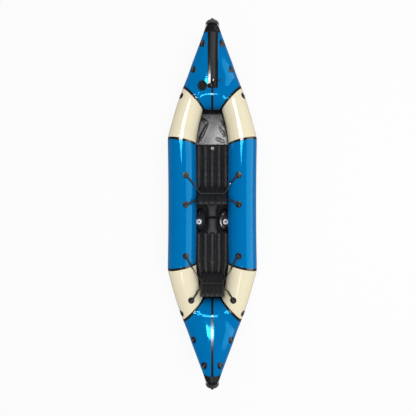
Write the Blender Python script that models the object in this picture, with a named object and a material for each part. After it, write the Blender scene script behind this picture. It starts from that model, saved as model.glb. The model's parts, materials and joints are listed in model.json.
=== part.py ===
"""A two-seat packraft, inflated, lying on its flat floor with its bow towards +Y.

The hull is a ring of eight inflated tubes. A point of a tube is given by u, its place along the tube,
and by turn, its angle round the tube: 0 points out of the boat, 90 degrees up, 180 degrees into the
cockpit and 270 degrees down.
"""

import math

import bmesh
import bpy
import numpy as np
from mathutils import Matrix, Vector

# Gap kept between pieces that touch
GAP = 0.0003

# Hull tubes: plan places are (x, y) on the right-hand bow side
TUBE_RADIUS = 0.1435
HULL_BOTTOM = 0.003
WALL = 0.001
MID_AXIS_X = 0.3025
MID_FLARE = 0.007
MID_HALF_LENGTH = 0.633
SEAM_LEAN = math.radians(10.7)
MITRE_IN = (0.0948, 0.970)
MITRE_OUT = (0.2975, 1.190)
QUARTER_BULGE = 0.010
QUARTER_BEND = 0.3

# Bow and stern: a straight-sided wedge with a rounded nose, a straight ridge and a rising keel
NOSE_Y = 1.800
NOSE_START_Y = 1.700
APEX_Y = 1.8754
WEDGE_TAPER = 0.434
RIDGE_START_Y = 1.080
RIDGE_START_Z = 0.2615
RIDGE_SLOPE = math.tan(math.radians(7.5))
KEEL_START_Y = 1.100
KEEL_RISE = 0.227
KEEL_POWER = 1.5
COCKPIT_SHOULDER = 0.145
CONE_BLEND = 0.35

# Seam tapes
TAPE_HALF_WIDTH = 0.010
TAPE_LIFT = 0.0003
TAPE_TOP = 0.0011

# Sections: points round a tube, and where the floor sheet wraps up to
ROUND = 24
FLOOR_THICKNESS = 0.0015
FLOOR_WRAP = 3
FLOOR_SHIFT = 0.003
FLOOR_MITRE_SHIFT = 0.005
STERN_STRIP_END = 3
NOSE_LIFT = 0.0024

# Tie-down patches
PATCH_RADIUS = 0.0325
PATCH_EDGE = 0.0012
PATCH_CROWN = 0.006
TUBE_PATCH_LIFT = 0.0006
CONE_PATCH_LIFT = 0.0020
END_PATCHES = {
    1: ((0.0943, 1.560), (0.1865, 1.329), (0.3110, 1.081)),
    -1: ((0.0774, 1.568), (0.1840, 1.345), (0.3076, 1.097)),
}
LACING_PATCHES = {
    "front_upper": (0.257, 0.281),
    "front_lower": (0.257, -0.005),
    "rear_upper": (0.257, -0.510),
    "rear_lower": (0.205, -0.949),
}

# Zip along the bow's ridge
ZIP_X = 0.006
ZIP_START_Y = 1.157
ZIP_END_Y = 1.655
ZIP_FLANGE_WIDTH = 0.100
ZIP_FLANGE_THICKNESS = 0.0012
ZIP_LIFT = 0.0014
CHAIN_WIDTH = 0.012
CHAIN_HEIGHT = 0.0035
SLIDER_SIZE = (0.036, 0.052, 0.015)
SLIDER_Y = 1.190
STOP_SIZE = (0.046, 0.020, 0.010)
STOP_Y = 1.145
PULL_HINGE = (0.004, 0.014, 0.0185)
PULL_LENGTH = 0.095
PULL_RADIUS = 0.003
KNOB_RADIUS = 0.0055

# Main valve on the bow
VALVE_X = -0.0953
VALVE_Y = 1.161
VALVE_FLANGE_RADIUS = 0.0475
VALVE_COLLAR_RADIUS = 0.032
VALVE_BORE_RADIUS = 0.024
VALVE_BARREL_RADIUS = 0.028
VALVE_BARREL_DEPTH = 0.018
VALVE_COLLAR_HEIGHT = 0.012
CAP_HEIGHT = 0.016
TETHER_WIDTH = 0.012
TETHER_THICKNESS = 0.0024
TETHER_REACH = 0.062

# Inflatable floor mats: five lengthwise chambers each
MAT_PITCH = 0.0717
CHAMBERS = 5
MAT_BOTTOM = 0.004
MAT_HEIGHT = 0.056
MAT_GROOVE = 0.016
FRONT_MAT_Y = (-0.022, 0.626)
REAR_MAT_Y = (-0.985, -0.294)
TONGUE_HALF_WIDTH = 0.055
TONGUE_MEET_Y = -0.142
TONGUE_HEIGHT = 0.040
TONGUE_WIDE = 0.100
REAR_TAPER = 0.6
REAR_TAPER_LENGTH = 0.385
LOBE_X = 0.128
LOBE_Y = -0.170
LOBE_HALF_WIDTH = 0.066
LOBE_HALF_LENGTH = 0.118
LOBE_HEIGHT = 0.046
MAT_VALVE_X = 0.139
MAT_VALVE_Y = -0.187
MAT_VALVE_RADIUS = 0.028
MAT_BUTTON_RADIUS = 0.011

# Backrests, hinged on the mats
FRONT_BACK_WIDTH = 0.290
REAR_BACK_WIDTH = 0.240
BACK_GROOVE = 0.010
BACK_HEIGHT = 0.300
BACK_THICKNESS = 0.044
BACK_LEAN = math.radians(35)
BACK_HINGE_Z = 0.066
FRONT_BACK_Y = 0.170
REAR_BACK_Y = -0.724

# Grab loops over the noses
GRAB_Y = 1.740
GRAB_Z = 0.285
GRAB_HALF_SPAN = 0.0640
GRAB_RISE = 0.084
GRAB_WIDTH = 0.024
GRAB_THICKNESS = 0.003

# Lacing cords: patch, travel along the tube, backrest's hinge y and width, and its face
CORD_RADIUS = 0.0045
CORD_SPACING = 0.018
LACING_START = 0.0130
LACING_OFF_TUBE = 0.006
LACING_LEAVE_TURN = 143
LACING_UP_BACK = 0.160
LACING = {
    "front_upper": ("front_upper", -0.080, FRONT_BACK_Y, FRONT_BACK_WIDTH, 1),
    "front_lower": ("front_lower", 0.005, FRONT_BACK_Y, FRONT_BACK_WIDTH, -1),
    "rear_upper": ("rear_upper", -0.150, REAR_BACK_Y, REAR_BACK_WIDTH, 1),
    "rear_lower": ("rear_lower", 0.040, REAR_BACK_Y, REAR_BACK_WIDTH, -1),
}

HALF_PI = math.pi / 2
TURNS = np.linspace(0.0, 2 * math.pi, ROUND, endpoint=False)


def clear_scene():
    for old in list(bpy.data.objects):
        bpy.data.objects.remove(old, do_unlink=True)


def material(name, colour, roughness, metallic=0.0):
    made = bpy.data.materials.new(name)
    made.use_nodes = True
    shader = made.node_tree.nodes["Principled BSDF"]
    shader.inputs["Base Color"].default_value = (*colour, 1.0)
    shader.inputs["Roughness"].default_value = roughness
    shader.inputs["Metallic"].default_value = metallic
    return made


def add_object(name, bm, finish, place=None):
    """Puts a bmesh into the scene, with its faces turned outwards."""
    bmesh.ops.remove_doubles(bm, verts=bm.verts[:], dist=1e-6)
    bmesh.ops.recalc_face_normals(bm, faces=bm.faces[:])
    mesh = bpy.data.meshes.new(name)
    bm.to_mesh(mesh)
    bm.free()
    mesh.shade_smooth()
    mesh.set_sharp_from_angle(angle=math.radians(35))
    mesh.materials.append(finish)
    made = bpy.data.objects.new(name, mesh)
    if place is not None:
        made.matrix_world = place
    bpy.context.collection.objects.link(made)
    return made


def smooth(value):
    """0 below 0, 1 above 1, and an even curve between."""
    held = np.clip(value, 0.0, 1.0)
    return held * held * (3 - 2 * held)


def mix(start, end, u):
    return start + (end - start) * u


# Hull surfaces. Each gives points for arrays of u and turn, grown outwards by grow.

MITRE_MIDDLE = tuple(mix(MITRE_IN[i], MITRE_OUT[i], 0.5) for i in range(2))
MITRE_HALF = math.dist(MITRE_IN, MITRE_OUT) / 2
MITRE_LEAN = math.atan2(MITRE_OUT[1] - MITRE_IN[1], MITRE_OUT[0] - MITRE_IN[0])
QUARTER_START = (MID_AXIS_X + MID_FLARE, MID_HALF_LENGTH)
QUARTER_LENGTH = math.dist(QUARTER_START, MITRE_MIDDLE)
QUARTER_LEAN = math.atan2(QUARTER_START[0] - MITRE_MIDDLE[0], MITRE_MIDDLE[1] - QUARTER_START[1])
MITRE_RADIUS = MITRE_HALF * math.cos(MITRE_LEAN - QUARTER_LEAN)


def section(centre_x, centre_y, lean, half_width, radius, turn, grow, side, end):
    """An upright ellipse that stands on the hull's lowest level, mirrored to its side and end."""
    level = (half_width + grow) * np.cos(turn)
    x = side * (centre_x + np.cos(lean) * level)
    y = end * (centre_y + np.sin(lean) * level)
    z = HULL_BOTTOM + radius + (radius + grow) * np.sin(turn)
    return np.stack(np.broadcast_arrays(x, y, z), axis=-1)


def mid_tube(side):
    """A straight tube from the rear seam, u = -1, to the front seam, u = 1."""

    def surface(u, turn, grow=0.0):
        lean = SEAM_LEAN * u
        centre_x = MID_AXIS_X + MID_FLARE * u**2
        half_width = TUBE_RADIUS / np.cos(lean)
        return section(centre_x, MID_HALF_LENGTH * u, lean, half_width, TUBE_RADIUS, turn, grow, side, 1)

    return surface


def quarter_tube(side, end):
    """A tapering tube from the mid tube's seam, u = 0, to the slanting mitre, u = 1."""

    def surface(u, turn, grow=0.0):
        lean = mix(SEAM_LEAN, MITRE_LEAN, u)
        square = QUARTER_LEAN * smooth(u / QUARTER_BEND)
        radius = mix(TUBE_RADIUS, MITRE_RADIUS, u)
        bulge = QUARTER_BULGE * 4 * u * (1 - u)
        centre_x = mix(QUARTER_START[0], MITRE_MIDDLE[0], u) + bulge
        centre_y = mix(QUARTER_START[1], MITRE_MIDDLE[1], u)
        half_width = radius / np.cos(lean - square)
        return section(centre_x, centre_y, lean, half_width, radius, turn, grow, side, end)

    return surface


def nose_part(y):
    return np.clip((y - NOSE_START_Y) / (NOSE_Y - NOSE_START_Y), 0.0, 1.0)


def wedge_half_width(y):
    return WEDGE_TAPER * (APEX_Y - y)


def outline_y(x):
    """How far forward the bow's plan outline is at x, found by halving."""
    low = np.full_like(x, MITRE_IN[1])
    high = np.full_like(x, NOSE_Y)
    for _ in range(40):
        y = (low + high) / 2
        inside = wedge_half_width(y) * np.sqrt(1 - nose_part(y) ** 2) > x
        low = np.where(inside, y, low)
        high = np.where(inside, high, y)
    return (low + high) / 2


def ridge_z(y):
    return RIDGE_START_Z + RIDGE_SLOPE * (y - RIDGE_START_Y)


def keel_z(y):
    part = np.clip((y - KEEL_START_Y) / (NOSE_Y - KEEL_START_Y), 0.0, None)
    return HULL_BOTTOM + KEEL_RISE * part**KEEL_POWER


def cone_z(x, y, up):
    """Height of the cone's skin over a plan point: up is 1 on the deck and -1 on the underside."""
    beside = 1 - (x / wedge_half_width(y)) ** 2 - nose_part(y) ** 2
    half = (ridge_z(y) - keel_z(y)) / 2
    return (ridge_z(y) + keel_z(y)) / 2 + up * half * np.sqrt(np.clip(beside, 0.0, None))


# Columns of a cone run from its cockpit edge to its outline. Those beside the centre line and beside
# the mitre lie a tape's half width away from it.
MITRE_SHIFT_IN = TAPE_HALF_WIDTH / math.sin(MITRE_LEAN)
MITRE_SHIFT_OUT = TAPE_HALF_WIDTH * 0.44
COLUMN_OUT = (0.0, TAPE_HALF_WIDTH, MITRE_OUT[0] - MITRE_SHIFT_OUT, MITRE_OUT[0])
COLUMN_IN = (0.0, TAPE_HALF_WIDTH, MITRE_IN[0] - MITRE_SHIFT_IN, MITRE_IN[0])

# Rows of the hull's surfaces: the seams, the tapes' edges and a few between
MID_TAPE_U = TAPE_HALF_WIDTH / MID_HALF_LENGTH
SEAM_TAPE_U = TAPE_HALF_WIDTH / QUARTER_LENGTH
MITRE_TAPE_U = TAPE_HALF_WIDTH / (QUARTER_LENGTH * math.cos(MITRE_LEAN - QUARTER_LEAN))
MID_STATIONS = (-1.0, MID_TAPE_U - 1, -0.5, 0.0, 0.5, 1 - MID_TAPE_U, 1.0)
QUARTER_STATIONS = (SEAM_TAPE_U, 0.35, 0.68, 1 - MITRE_TAPE_U)
CONE_GAP_U = 0.0003
CONE_TAPE_U = 1 - MITRE_SHIFT_OUT / MITRE_OUT[0]
CONE_SIDE = (TAPE_HALF_WIDTH / MITRE_OUT[0], 0.10, 0.20, 0.34, 0.50, 0.68, 0.85, CONE_TAPE_U, 1.0)
CONE_COLUMNS = (*(-u for u in reversed(CONE_SIDE)), 0.0, *CONE_SIDE)


def end_cone(end):
    """The bow (end = 1) or stern (end = -1), from its left mitre, u = -1, to its right one, u = 1."""

    def level_and_height(u, turn):
        size = np.abs(u)
        out_x = MITRE_OUT[0] * size
        in_x = np.interp(out_x, COLUMN_OUT, COLUMN_IN)
        out_y = outline_y(out_x)
        length = np.hypot(out_x - in_x, out_y - MITRE_IN[1])
        crown = mix(COCKPIT_SHOULDER, MITRE_HALF, size) / length
        cos, sin = np.cos(turn), np.sin(turn)
        across = np.where(cos < 0, crown * (1 + cos), crown + (1 - crown) * cos)
        x = mix(in_x, out_x, across)
        y = mix(MITRE_IN[1], out_y, across)
        middle = (ridge_z(y) + keel_z(y)) / 2
        rise = (cone_z(x, y, 1) - middle) * np.where(cos < 0, np.abs(sin), 1.0) * np.sign(sin)
        as_tube = HULL_BOTTOM + MITRE_RADIUS * (1 + sin)
        blend = smooth((1 - size) / CONE_BLEND)
        along_x = (out_x - in_x) / length
        along_y = (out_y - MITRE_IN[1]) / length
        return x, y, mix(as_tube, middle + rise, blend), across * length, along_x, along_y

    def surface(u, turn, grow=0.0):
        u, turn = np.broadcast_arrays(np.asarray(u, float), np.asarray(turn, float))
        x, y, z, _, along_x, along_y = level_and_height(u, turn)
        step = 1e-4
        after = level_and_height(u, turn + step)
        before = level_and_height(u, turn - step)
        rise = after[2] - before[2]
        run = after[3] - before[3]
        size = np.hypot(rise, run)
        x = x + grow * rise / size * along_x
        y = y + grow * rise / size * along_y
        z = z - grow * run / size
        return np.stack((np.where(u < 0, -1.0, 1.0) * x, end * y, z), axis=-1)

    return surface


def grid(surface, us, turns, grow=0.0):
    return surface(np.asarray(us)[:, None], np.asarray(turns)[None, :], grow)


def sheet_solid(name, outer, inner, finish, keep=None, around=False, end_walls=True):
    """A wall between two grids of points.

    keep marks the grid's cells that the wall has. around joins the last column to the first. A cell
    is split along its shorter diagonal, so neighbouring walls bend the same way.
    """
    rows, columns = outer.shape[:2]
    cells = columns if around else columns - 1
    if keep is None:
        keep = np.ones((rows - 1, cells), bool)
    bm = bmesh.new()
    walls = []
    for points in (outer, inner):
        walls.append([[bm.verts.new(p) for p in row] for row in points])

    def split(wall, i, j):
        k = (j + 1) % columns
        a, b, c, d = wall[i][j], wall[i + 1][j], wall[i + 1][k], wall[i][k]
        if (a.co - c.co).length <= (b.co - d.co).length:
            return (a, b, c), (a, c, d)
        return (a, b, d), (b, c, d)

    def kept(i, j):
        if around:
            j %= cells
        return 0 <= i < rows - 1 and 0 <= j < cells and keep[i, j]

    def side_wall(i, j, m, n):
        n %= columns
        corners = [walls[0][i][j % columns], walls[0][m][n], walls[1][m][n], walls[1][i][j % columns]]
        bm.faces.new(corners)

    for i in range(rows - 1):
        for j in range(cells):
            if not keep[i, j]:
                continue
            for wall in walls:
                for corners in split(wall, i, j):
                    bm.faces.new(corners)
            if not kept(i, j - 1):
                side_wall(i, j, i + 1, j)
            if not kept(i, j + 1):
                side_wall(i, j + 1, i + 1, j + 1)
            if not kept(i - 1, j) and (end_walls or i > 0):
                side_wall(i, j, i, j + 1)
            if not kept(i + 1, j) and (end_walls or i < rows - 2):
                side_wall(i + 1, j, i + 1, j + 1)
    loose = [v for v in bm.verts if not v.link_faces]
    bmesh.ops.delete(bm, geom=loose, context="VERTS")
    return add_object(name, bm, finish)


def turned(name, profile, finish, place, steps=24, closed=True):
    """A solid turned round the local Z axis from (radius, height) points.

    The outline is closed, or else runs from the axis back to the axis.
    """
    bm = bmesh.new()
    points = [bm.verts.new((r, 0.0, z)) for r, z in profile]
    edges = [bm.edges.new((points[i - 1], points[i])) for i in range(0 if closed else 1, len(points))]
    full = 2 * math.pi
    bmesh.ops.spin(
        bm, geom=points + edges, cent=(0, 0, 0), axis=(0, 0, 1), angle=full, steps=steps, use_merge=True
    )
    return add_object(name, bm, finish, place)


def block(name, size, finish, place, bevel=0.002):
    """A box with rounded edges, standing on its place."""
    bm = bmesh.new()
    bmesh.ops.create_cube(bm, size=1.0)
    bmesh.ops.scale(bm, vec=size, verts=bm.verts[:])
    bmesh.ops.translate(bm, vec=(0, 0, size[2] / 2), verts=bm.verts[:])
    bmesh.ops.bevel(bm, geom=bm.edges[:], offset=bevel, segments=2, profile=0.5, affect="EDGES")
    return add_object(name, bm, finish, place)


def frame_on(surface, u, turn):
    """A place on a hull surface, with local Z along its outward normal and local Y near the bow's way.

    Returns the place and the surface's slopes by u and by turn.
    """
    step = 1e-4
    point = surface(np.array(u), np.array(turn))
    by_u = surface(np.array(u + step), np.array(turn)) - surface(np.array(u - step), np.array(turn))
    by_turn = surface(np.array(u), np.array(turn + step)) - surface(np.array(u), np.array(turn - step))
    normal = Vector(np.cross(by_u, by_turn)).normalized()
    if normal.z < 0:
        normal = -normal
    side_way = Vector((0.0, 1.0, 0.0)).cross(normal).normalized()
    forward = normal.cross(side_way)
    made = Matrix((side_way, forward, normal)).transposed().to_4x4()
    made.translation = Vector(point)
    return made, by_u / (2 * step), by_turn / (2 * step)


def locate(surface, x, y, u_range):
    """The u and turn of the deck point over plan point (x, y), by searching ever smaller squares."""
    u_low, u_high = u_range
    turn_low, turn_high = 0.0, math.pi
    for _ in range(12):
        us = np.linspace(u_low, u_high, 21)
        turns = np.linspace(turn_low, turn_high, 21)
        points = grid(surface, us, turns)
        off = np.hypot(points[..., 0] - x, points[..., 1] - y)
        i, j = np.unravel_index(np.argmin(off), off.shape)
        u_half, turn_half = (u_high - u_low) / 5, (turn_high - turn_low) / 5
        u_low, u_high = max(u_range[0], us[i] - u_half), min(u_range[1], us[i] + u_half)
        turn_low, turn_high = max(0.0, turns[j] - turn_half), min(math.pi, turns[j] + turn_half)
    return us[i], turns[j]


def patch(name, surface, x, y, u_range, lift, finish):
    """A round tie-down patch bonded to the hull: thin at its rim, with a low crown for its loop."""
    u, turn = locate(surface, x, y, u_range)
    place, by_u, by_turn = frame_on(surface, u, turn)
    side_way, forward, normal = (np.array(place.col[i][:3]) for i in range(3))
    slopes = np.array([[by_u @ side_way, by_turn @ side_way], [by_u @ forward, by_turn @ forward]])
    angles = np.linspace(0, 2 * math.pi, 12, endpoint=False)
    rings = np.array([0.0, 0.45, 1.0])
    flat = rings[:, None, None] * np.stack((np.cos(angles), np.sin(angles)), axis=-1)[None] * PATCH_RADIUS
    steps = flat @ np.linalg.inv(slopes).T
    base = surface(u + steps[..., 0], turn + steps[..., 1])
    heights = np.array([PATCH_CROWN, PATCH_CROWN, PATCH_EDGE])[:, None, None]
    return sheet_solid(name, base + normal * (lift + heights), base + normal * lift, finish, around=True)


def hull_tubes(blue, cream):
    quarter_gap = GAP / QUARTER_LENGTH
    mid_gap = GAP / MID_HALF_LENGTH
    mid_us = [mid_gap - 1, *MID_STATIONS[1:-1], 1 - mid_gap]
    quarter_us = [quarter_gap, *QUARTER_STATIONS, 1 - quarter_gap]
    for side, side_name in ((-1, "left"), (1, "right")):
        tube(f"mid_tube_{side_name}", mid_tube(side), mid_us, blue)
        for end, end_name in ((1, "front"), (-1, "rear")):
            tube(f"{end_name}_quarter_{side_name}", quarter_tube(side, end), quarter_us, cream)
    cone_us = [CONE_GAP_U - 1, *CONE_COLUMNS[1:-1], 1 - CONE_GAP_U]
    tube("stern_cone", end_cone(-1), cone_us, blue)
    return tube("bow_cone", end_cone(1), cone_us, blue)


def tube(name, surface, us, finish):
    """An inflated tube's skin, open where its neighbours carry on."""
    return sheet_solid(
        name, grid(surface, us, TURNS), grid(surface, us, TURNS, -WALL), finish, around=True
    )


def seam_tapes(black):
    """A welded tape over each seam. The end tapes also run along the cockpit edge and the centre line."""
    for side, side_name in ((-1, "left"), (1, "right")):
        for end, end_name in ((1, "front"), (-1, "rear")):
            walls = []
            for grow in (TAPE_TOP, TAPE_LIFT):
                mid_rows = grid(mid_tube(side), [end * (1 - MID_TAPE_U), end], TURNS, grow)
                quarter_row = grid(quarter_tube(side, end), [SEAM_TAPE_U], TURNS, grow)
                walls.append(np.concatenate((mid_rows, quarter_row)))
            sheet_solid(f"seam_tape_{end_name}_{side_name}", *walls, black, around=True)
    columns = len(CONE_COLUMNS)
    middle = columns // 2 + 1
    inner_edge = ROUND // 2
    for end, name, strip_start in ((1, "bow", ROUND // 4), (-1, "stern", STERN_STRIP_END)):
        walls = []
        for grow in (TAPE_TOP, TAPE_LIFT):
            left = grid(quarter_tube(-1, end), [1 - MITRE_TAPE_U], TURNS, grow)
            right = grid(quarter_tube(1, end), [1 - MITRE_TAPE_U], TURNS, grow)
            walls.append(np.concatenate((left, grid(end_cone(end), CONE_COLUMNS, TURNS, grow), right)))
        keep = np.zeros((columns + 1, ROUND), bool)
        keep[:2] = True
        keep[-2:] = True
        keep[:, inner_edge] = True
        keep[middle - 1 : middle + 1, strip_start:inner_edge] = True
        sheet_solid(f"seam_tape_{name}", *walls, black, keep=keep, around=True)


def floor_sheet(black):
    """The tray under the boat: flat between the tubes' lowest lines, and wrapped up round their outsides.

    Under the ends the flat part's rows are shifted inwards along the centre line, to keep them apart.
    """
    bottom = 3 * ROUND // 4
    wrap = TURNS[bottom : bottom + FLOOR_WRAP + 1]
    shifts = [0.0] + [FLOOR_SHIFT] * (len(CONE_SIDE) - 2) + [FLOOR_MITRE_SHIFT]
    cone_rows = list(zip((0.0, *CONE_SIDE[1:]), shifts))
    stern, bow = ([(end_cone(end), u, -end * shift) for u, shift in cone_rows] for end in (-1, 1))
    rear, front = ([(quarter_tube(1, end), u, 0.0) for u in QUARTER_STATIONS[::-1]] for end in (-1, 1))
    middle = [(mid_tube(1), u, 0.0) for u in MID_STATIONS]
    stations = stern + rear + middle + front[::-1] + bow[::-1]
    walls = []
    for grow, level in ((HULL_BOTTOM, 0.0), (HULL_BOTTOM - FLOOR_THICKNESS, FLOOR_THICKNESS)):
        rows = []
        for surface, u, shift in stations:
            right = surface(np.full(len(wrap), u), wrap, grow)
            lowest_x, lowest_y, lowest_z = right[0]
            flat_z = level if lowest_x > 0 else lowest_z
            flat = [(lowest_x / 2, lowest_y + shift / 2, flat_z), (0.0, lowest_y + shift, flat_z)]
            half = np.concatenate((right[::-1], flat))
            mirrored = half[-2::-1] * [-1, 1, 1]
            rows.append(np.concatenate((half, mirrored)))
        walls.append(np.array(rows))
    return sheet_solid("floor_sheet", *walls, black, end_walls=False)


def on_deck(x, y, height, end=1):
    """Points held at a height over the cone's deck, measured along its normal."""
    step = 1e-4
    slope_x = (cone_z(x + step, y, 1) - cone_z(x - step, y, 1)) / (2 * step)
    slope_y = (cone_z(x, y + step, 1) - cone_z(x, y - step, 1)) / (2 * step)
    size = np.sqrt(1 + slope_x**2 + slope_y**2)
    z = cone_z(x, y, 1) + height / size
    return np.stack((x - height * slope_x / size, end * (y - height * slope_y / size), z), axis=-1)


def deck_strip(name, edges_at, ys, lift, thickness, finish, end=1, points=7):
    """A strip that lies on a cone's deck, between the two edges that edges_at gives for each y."""
    walls = []
    for height in (lift + thickness, lift):
        rows = []
        for y in ys:
            x = np.linspace(*edges_at(y), points)
            rows.append(on_deck(x, np.full_like(x, y), height, end))
        walls.append(np.array(rows))
    return sheet_solid(name, *walls, finish)


def nose_edges(y):
    """A nose patch covers most of the nose, then narrows to the centre of its tip."""
    outline = wedge_half_width(y) * math.sqrt(1 - float(nose_part(y)) ** 2)
    half = outline * (0.86 - 0.40 * float(smooth((y - GRAB_Y + 0.01) / 0.03)))
    return -half, half


def nose_patches(black):
    ys = [1.662, 1.690, 1.712, 1.730, 1.746, 1.760, 1.773, 1.785]
    for end, name in ((1, "nose_patch_bow"), (-1, "nose_patch_stern")):
        deck_strip(name, nose_edges, ys, NOSE_LIFT, 0.0012, black, end)


def deck_frame(x, y, height):
    """A place over the bow's deck with local X across the boat, Y up the ridge and Z off the deck."""
    forward = Vector((0.0, 1.0, RIDGE_SLOPE)).normalized()
    side_way = Vector((1.0, 0.0, 0.0))
    made = Matrix((side_way, forward, side_way.cross(forward))).transposed().to_4x4()
    made.translation = Vector(on_deck(np.array(x), np.array(y), height))
    return made


def zip_fastener(black, grey, metal):
    """The zip: a welded flange with its row of teeth, an end stop, and a slider with its pull."""
    ys = np.linspace(ZIP_START_Y, ZIP_END_Y, 8)
    flange_edges = (ZIP_X - ZIP_FLANGE_WIDTH / 2, ZIP_X + ZIP_FLANGE_WIDTH / 2)
    chain_edges = (ZIP_X - CHAIN_WIDTH / 2, ZIP_X + CHAIN_WIDTH / 2)
    flange_top = ZIP_LIFT + ZIP_FLANGE_THICKNESS
    deck_strip("zipper_flange", lambda y: flange_edges, ys, ZIP_LIFT, ZIP_FLANGE_THICKNESS, black)
    chain_ys = np.linspace(ZIP_START_Y + 0.002, ZIP_END_Y - 0.004, 5)
    chain_lift = flange_top + GAP
    deck_strip("zipper_chain", lambda y: chain_edges, chain_ys, chain_lift, CHAIN_HEIGHT, grey, points=3)
    block("zipper_stop", STOP_SIZE, black, deck_frame(ZIP_X, STOP_Y, ZIP_LIFT))
    slider_place = deck_frame(ZIP_X, SLIDER_Y, chain_lift)
    slider = block("zipper_slider", SLIDER_SIZE, metal, slider_place, 0.003)
    groove = (CHAIN_WIDTH + 0.003, 2 * SLIDER_SIZE[1], 2 * (CHAIN_HEIGHT + 0.001))
    groove_place = slider_place @ Matrix.Translation((0, 0, -groove[2] / 2))
    cut(slider, block("slider_groove", groove, metal, groove_place))
    knob_start, knob_end = PULL_LENGTH - 0.012, PULL_LENGTH - 0.004
    pull_outline = [
        (0, 0), (PULL_RADIUS, 0.001), (PULL_RADIUS, knob_start), (KNOB_RADIUS, knob_start + 0.002),
        (KNOB_RADIUS, knob_end), (PULL_RADIUS, PULL_LENGTH), (0, PULL_LENGTH),
    ]
    to_right = Matrix.Rotation(HALF_PI, 4, "Y")
    pull_place = slider_place @ Matrix.Translation(PULL_HINGE)
    turned("zipper_pull", pull_outline, metal, pull_place @ to_right, steps=10, closed=False)


def cut(target, cutter):
    """Takes the cutter's shape out of the target."""
    boolean = target.modifiers.new(cutter.name, "BOOLEAN")
    boolean.operation = "DIFFERENCE"
    hide(boolean, cutter)


def join(target, other):
    """Makes the other shape one with the target."""
    boolean = target.modifiers.new(other.name, "BOOLEAN")
    boolean.operation = "UNION"
    hide(boolean, other)


def hide(boolean, helper):
    boolean.object = helper
    boolean.solver = "EXACT"
    helper.hide_render = True
    helper.display_type = "WIRE"


def main_valve(cone, black, grey):
    """The big inflation valve: a collar through the deck, a sprung plunger, and a cap on a strap."""
    surface = end_cone(1)
    place, _, _ = frame_on(surface, *locate(surface, VALVE_X, VALVE_Y, (-1, 0)))
    bore, barrel = VALVE_BORE_RADIUS, VALVE_BARREL_RADIUS
    collar, rim = VALVE_COLLAR_RADIUS, VALVE_FLANGE_RADIUS
    lift, flange, top = 2 * GAP, 0.004, VALVE_COLLAR_HEIGHT
    base = [
        (bore, -VALVE_BARREL_DEPTH), (bore, top), (collar, top), (collar, flange), (rim - 0.001, flange),
        (rim, flange - 0.001), (rim, lift), (barrel, lift), (barrel, -VALVE_BARREL_DEPTH),
    ]
    turned("valve_base", base, black, place)
    hole_radius, hole_depth = barrel + 2 * GAP, 0.03
    hole = [(0, -hole_depth), (hole_radius, -hole_depth), (hole_radius, hole_depth), (0, hole_depth)]
    cut(cone, turned("valve_hole", hole, black, place, closed=False))
    disc, stem = bore - 2 * GAP, 0.008
    plunger = [(0, 0.003), (stem, 0.002), (disc, 0.004), (disc, 0.007), (stem, 0.009), (0, 0.009)]
    turned("valve_plunger", plunger, grey, place, steps=20, closed=False)
    inside, outside = collar + 0.001, rim - 0.001
    low, ceiling = flange + 2 * GAP, top + 2 * GAP
    cap = [
        (0, ceiling), (inside, ceiling), (inside, low), (outside, low), (outside, CAP_HEIGHT - 0.002),
        (outside - 0.003, CAP_HEIGHT), (0, CAP_HEIGHT),
    ]
    turned("valve_cap", cap, black, place, closed=False)
    strap_length = TETHER_REACH - rim
    strap_place = place @ Matrix.Translation(((rim + TETHER_REACH) / 2, 0, low))
    block("valve_cap_strap", (strap_length, TETHER_WIDTH, TETHER_THICKNESS), black, strap_place, 0.0008)


def chamber_outline(width, height, groove, flat_base):
    """A pad's cross-section, as (across, up) points: a row of round-topped chambers."""
    steps = 4
    across = np.linspace(-width / 2, width / 2, CHAMBERS * steps + 1)
    offset = (np.arange(len(across)) % steps) / steps * 2 - 1
    up = height / 2 - groove * offset**2
    up[[0, -1]] = 0.0
    top = list(zip(across, up))
    if flat_base:
        corner = width / 2 - 0.014
        return top + [(corner, -height / 2), (-corner, -height / 2)]
    return top + [(x, -z) for x, z in top[-2:0:-1]]


def ribbed_pad(name, width, length, height, groove, finish, place, flat_base=False, taper=None):
    """A pad of lengthwise chambers along local Y, with pinched ends. taper narrows it along its length."""
    outline = chamber_outline(width, height, groove, flat_base)
    stations = [(0.0, 0.35), (0.012, 0.80), (0.035, 1.0)]
    places = [(y, scale) for y, scale in stations] + [(length - y, scale) for y, scale in reversed(stations)]
    if taper is not None:
        places.insert(3, (taper[0], 1.0))
    rings = []
    for y, scale in sorted(places):
        narrow = 1.0
        if taper is not None and y < taper[0]:
            narrow = mix(taper[1], 1.0, y / taper[0])
        rings.append([(x * narrow, y, z * scale if not flat_base or z > 0 else z) for x, z in outline])
    return loft(name, rings, finish, place)


def loft(name, rings, finish, place=None):
    """A solid through closed rings of points, with flat ends."""
    bm = bmesh.new()
    made = [[bm.verts.new(point) for point in ring] for ring in rings]
    count = len(made[0])
    for near, far in zip(made, made[1:]):
        for i in range(count):
            j = (i + 1) % count
            bm.faces.new((near[i], near[j], far[j], far[i]))
    bm.faces.new(made[0])
    bm.faces.new(made[-1])
    return add_object(name, bm, finish, place)


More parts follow.
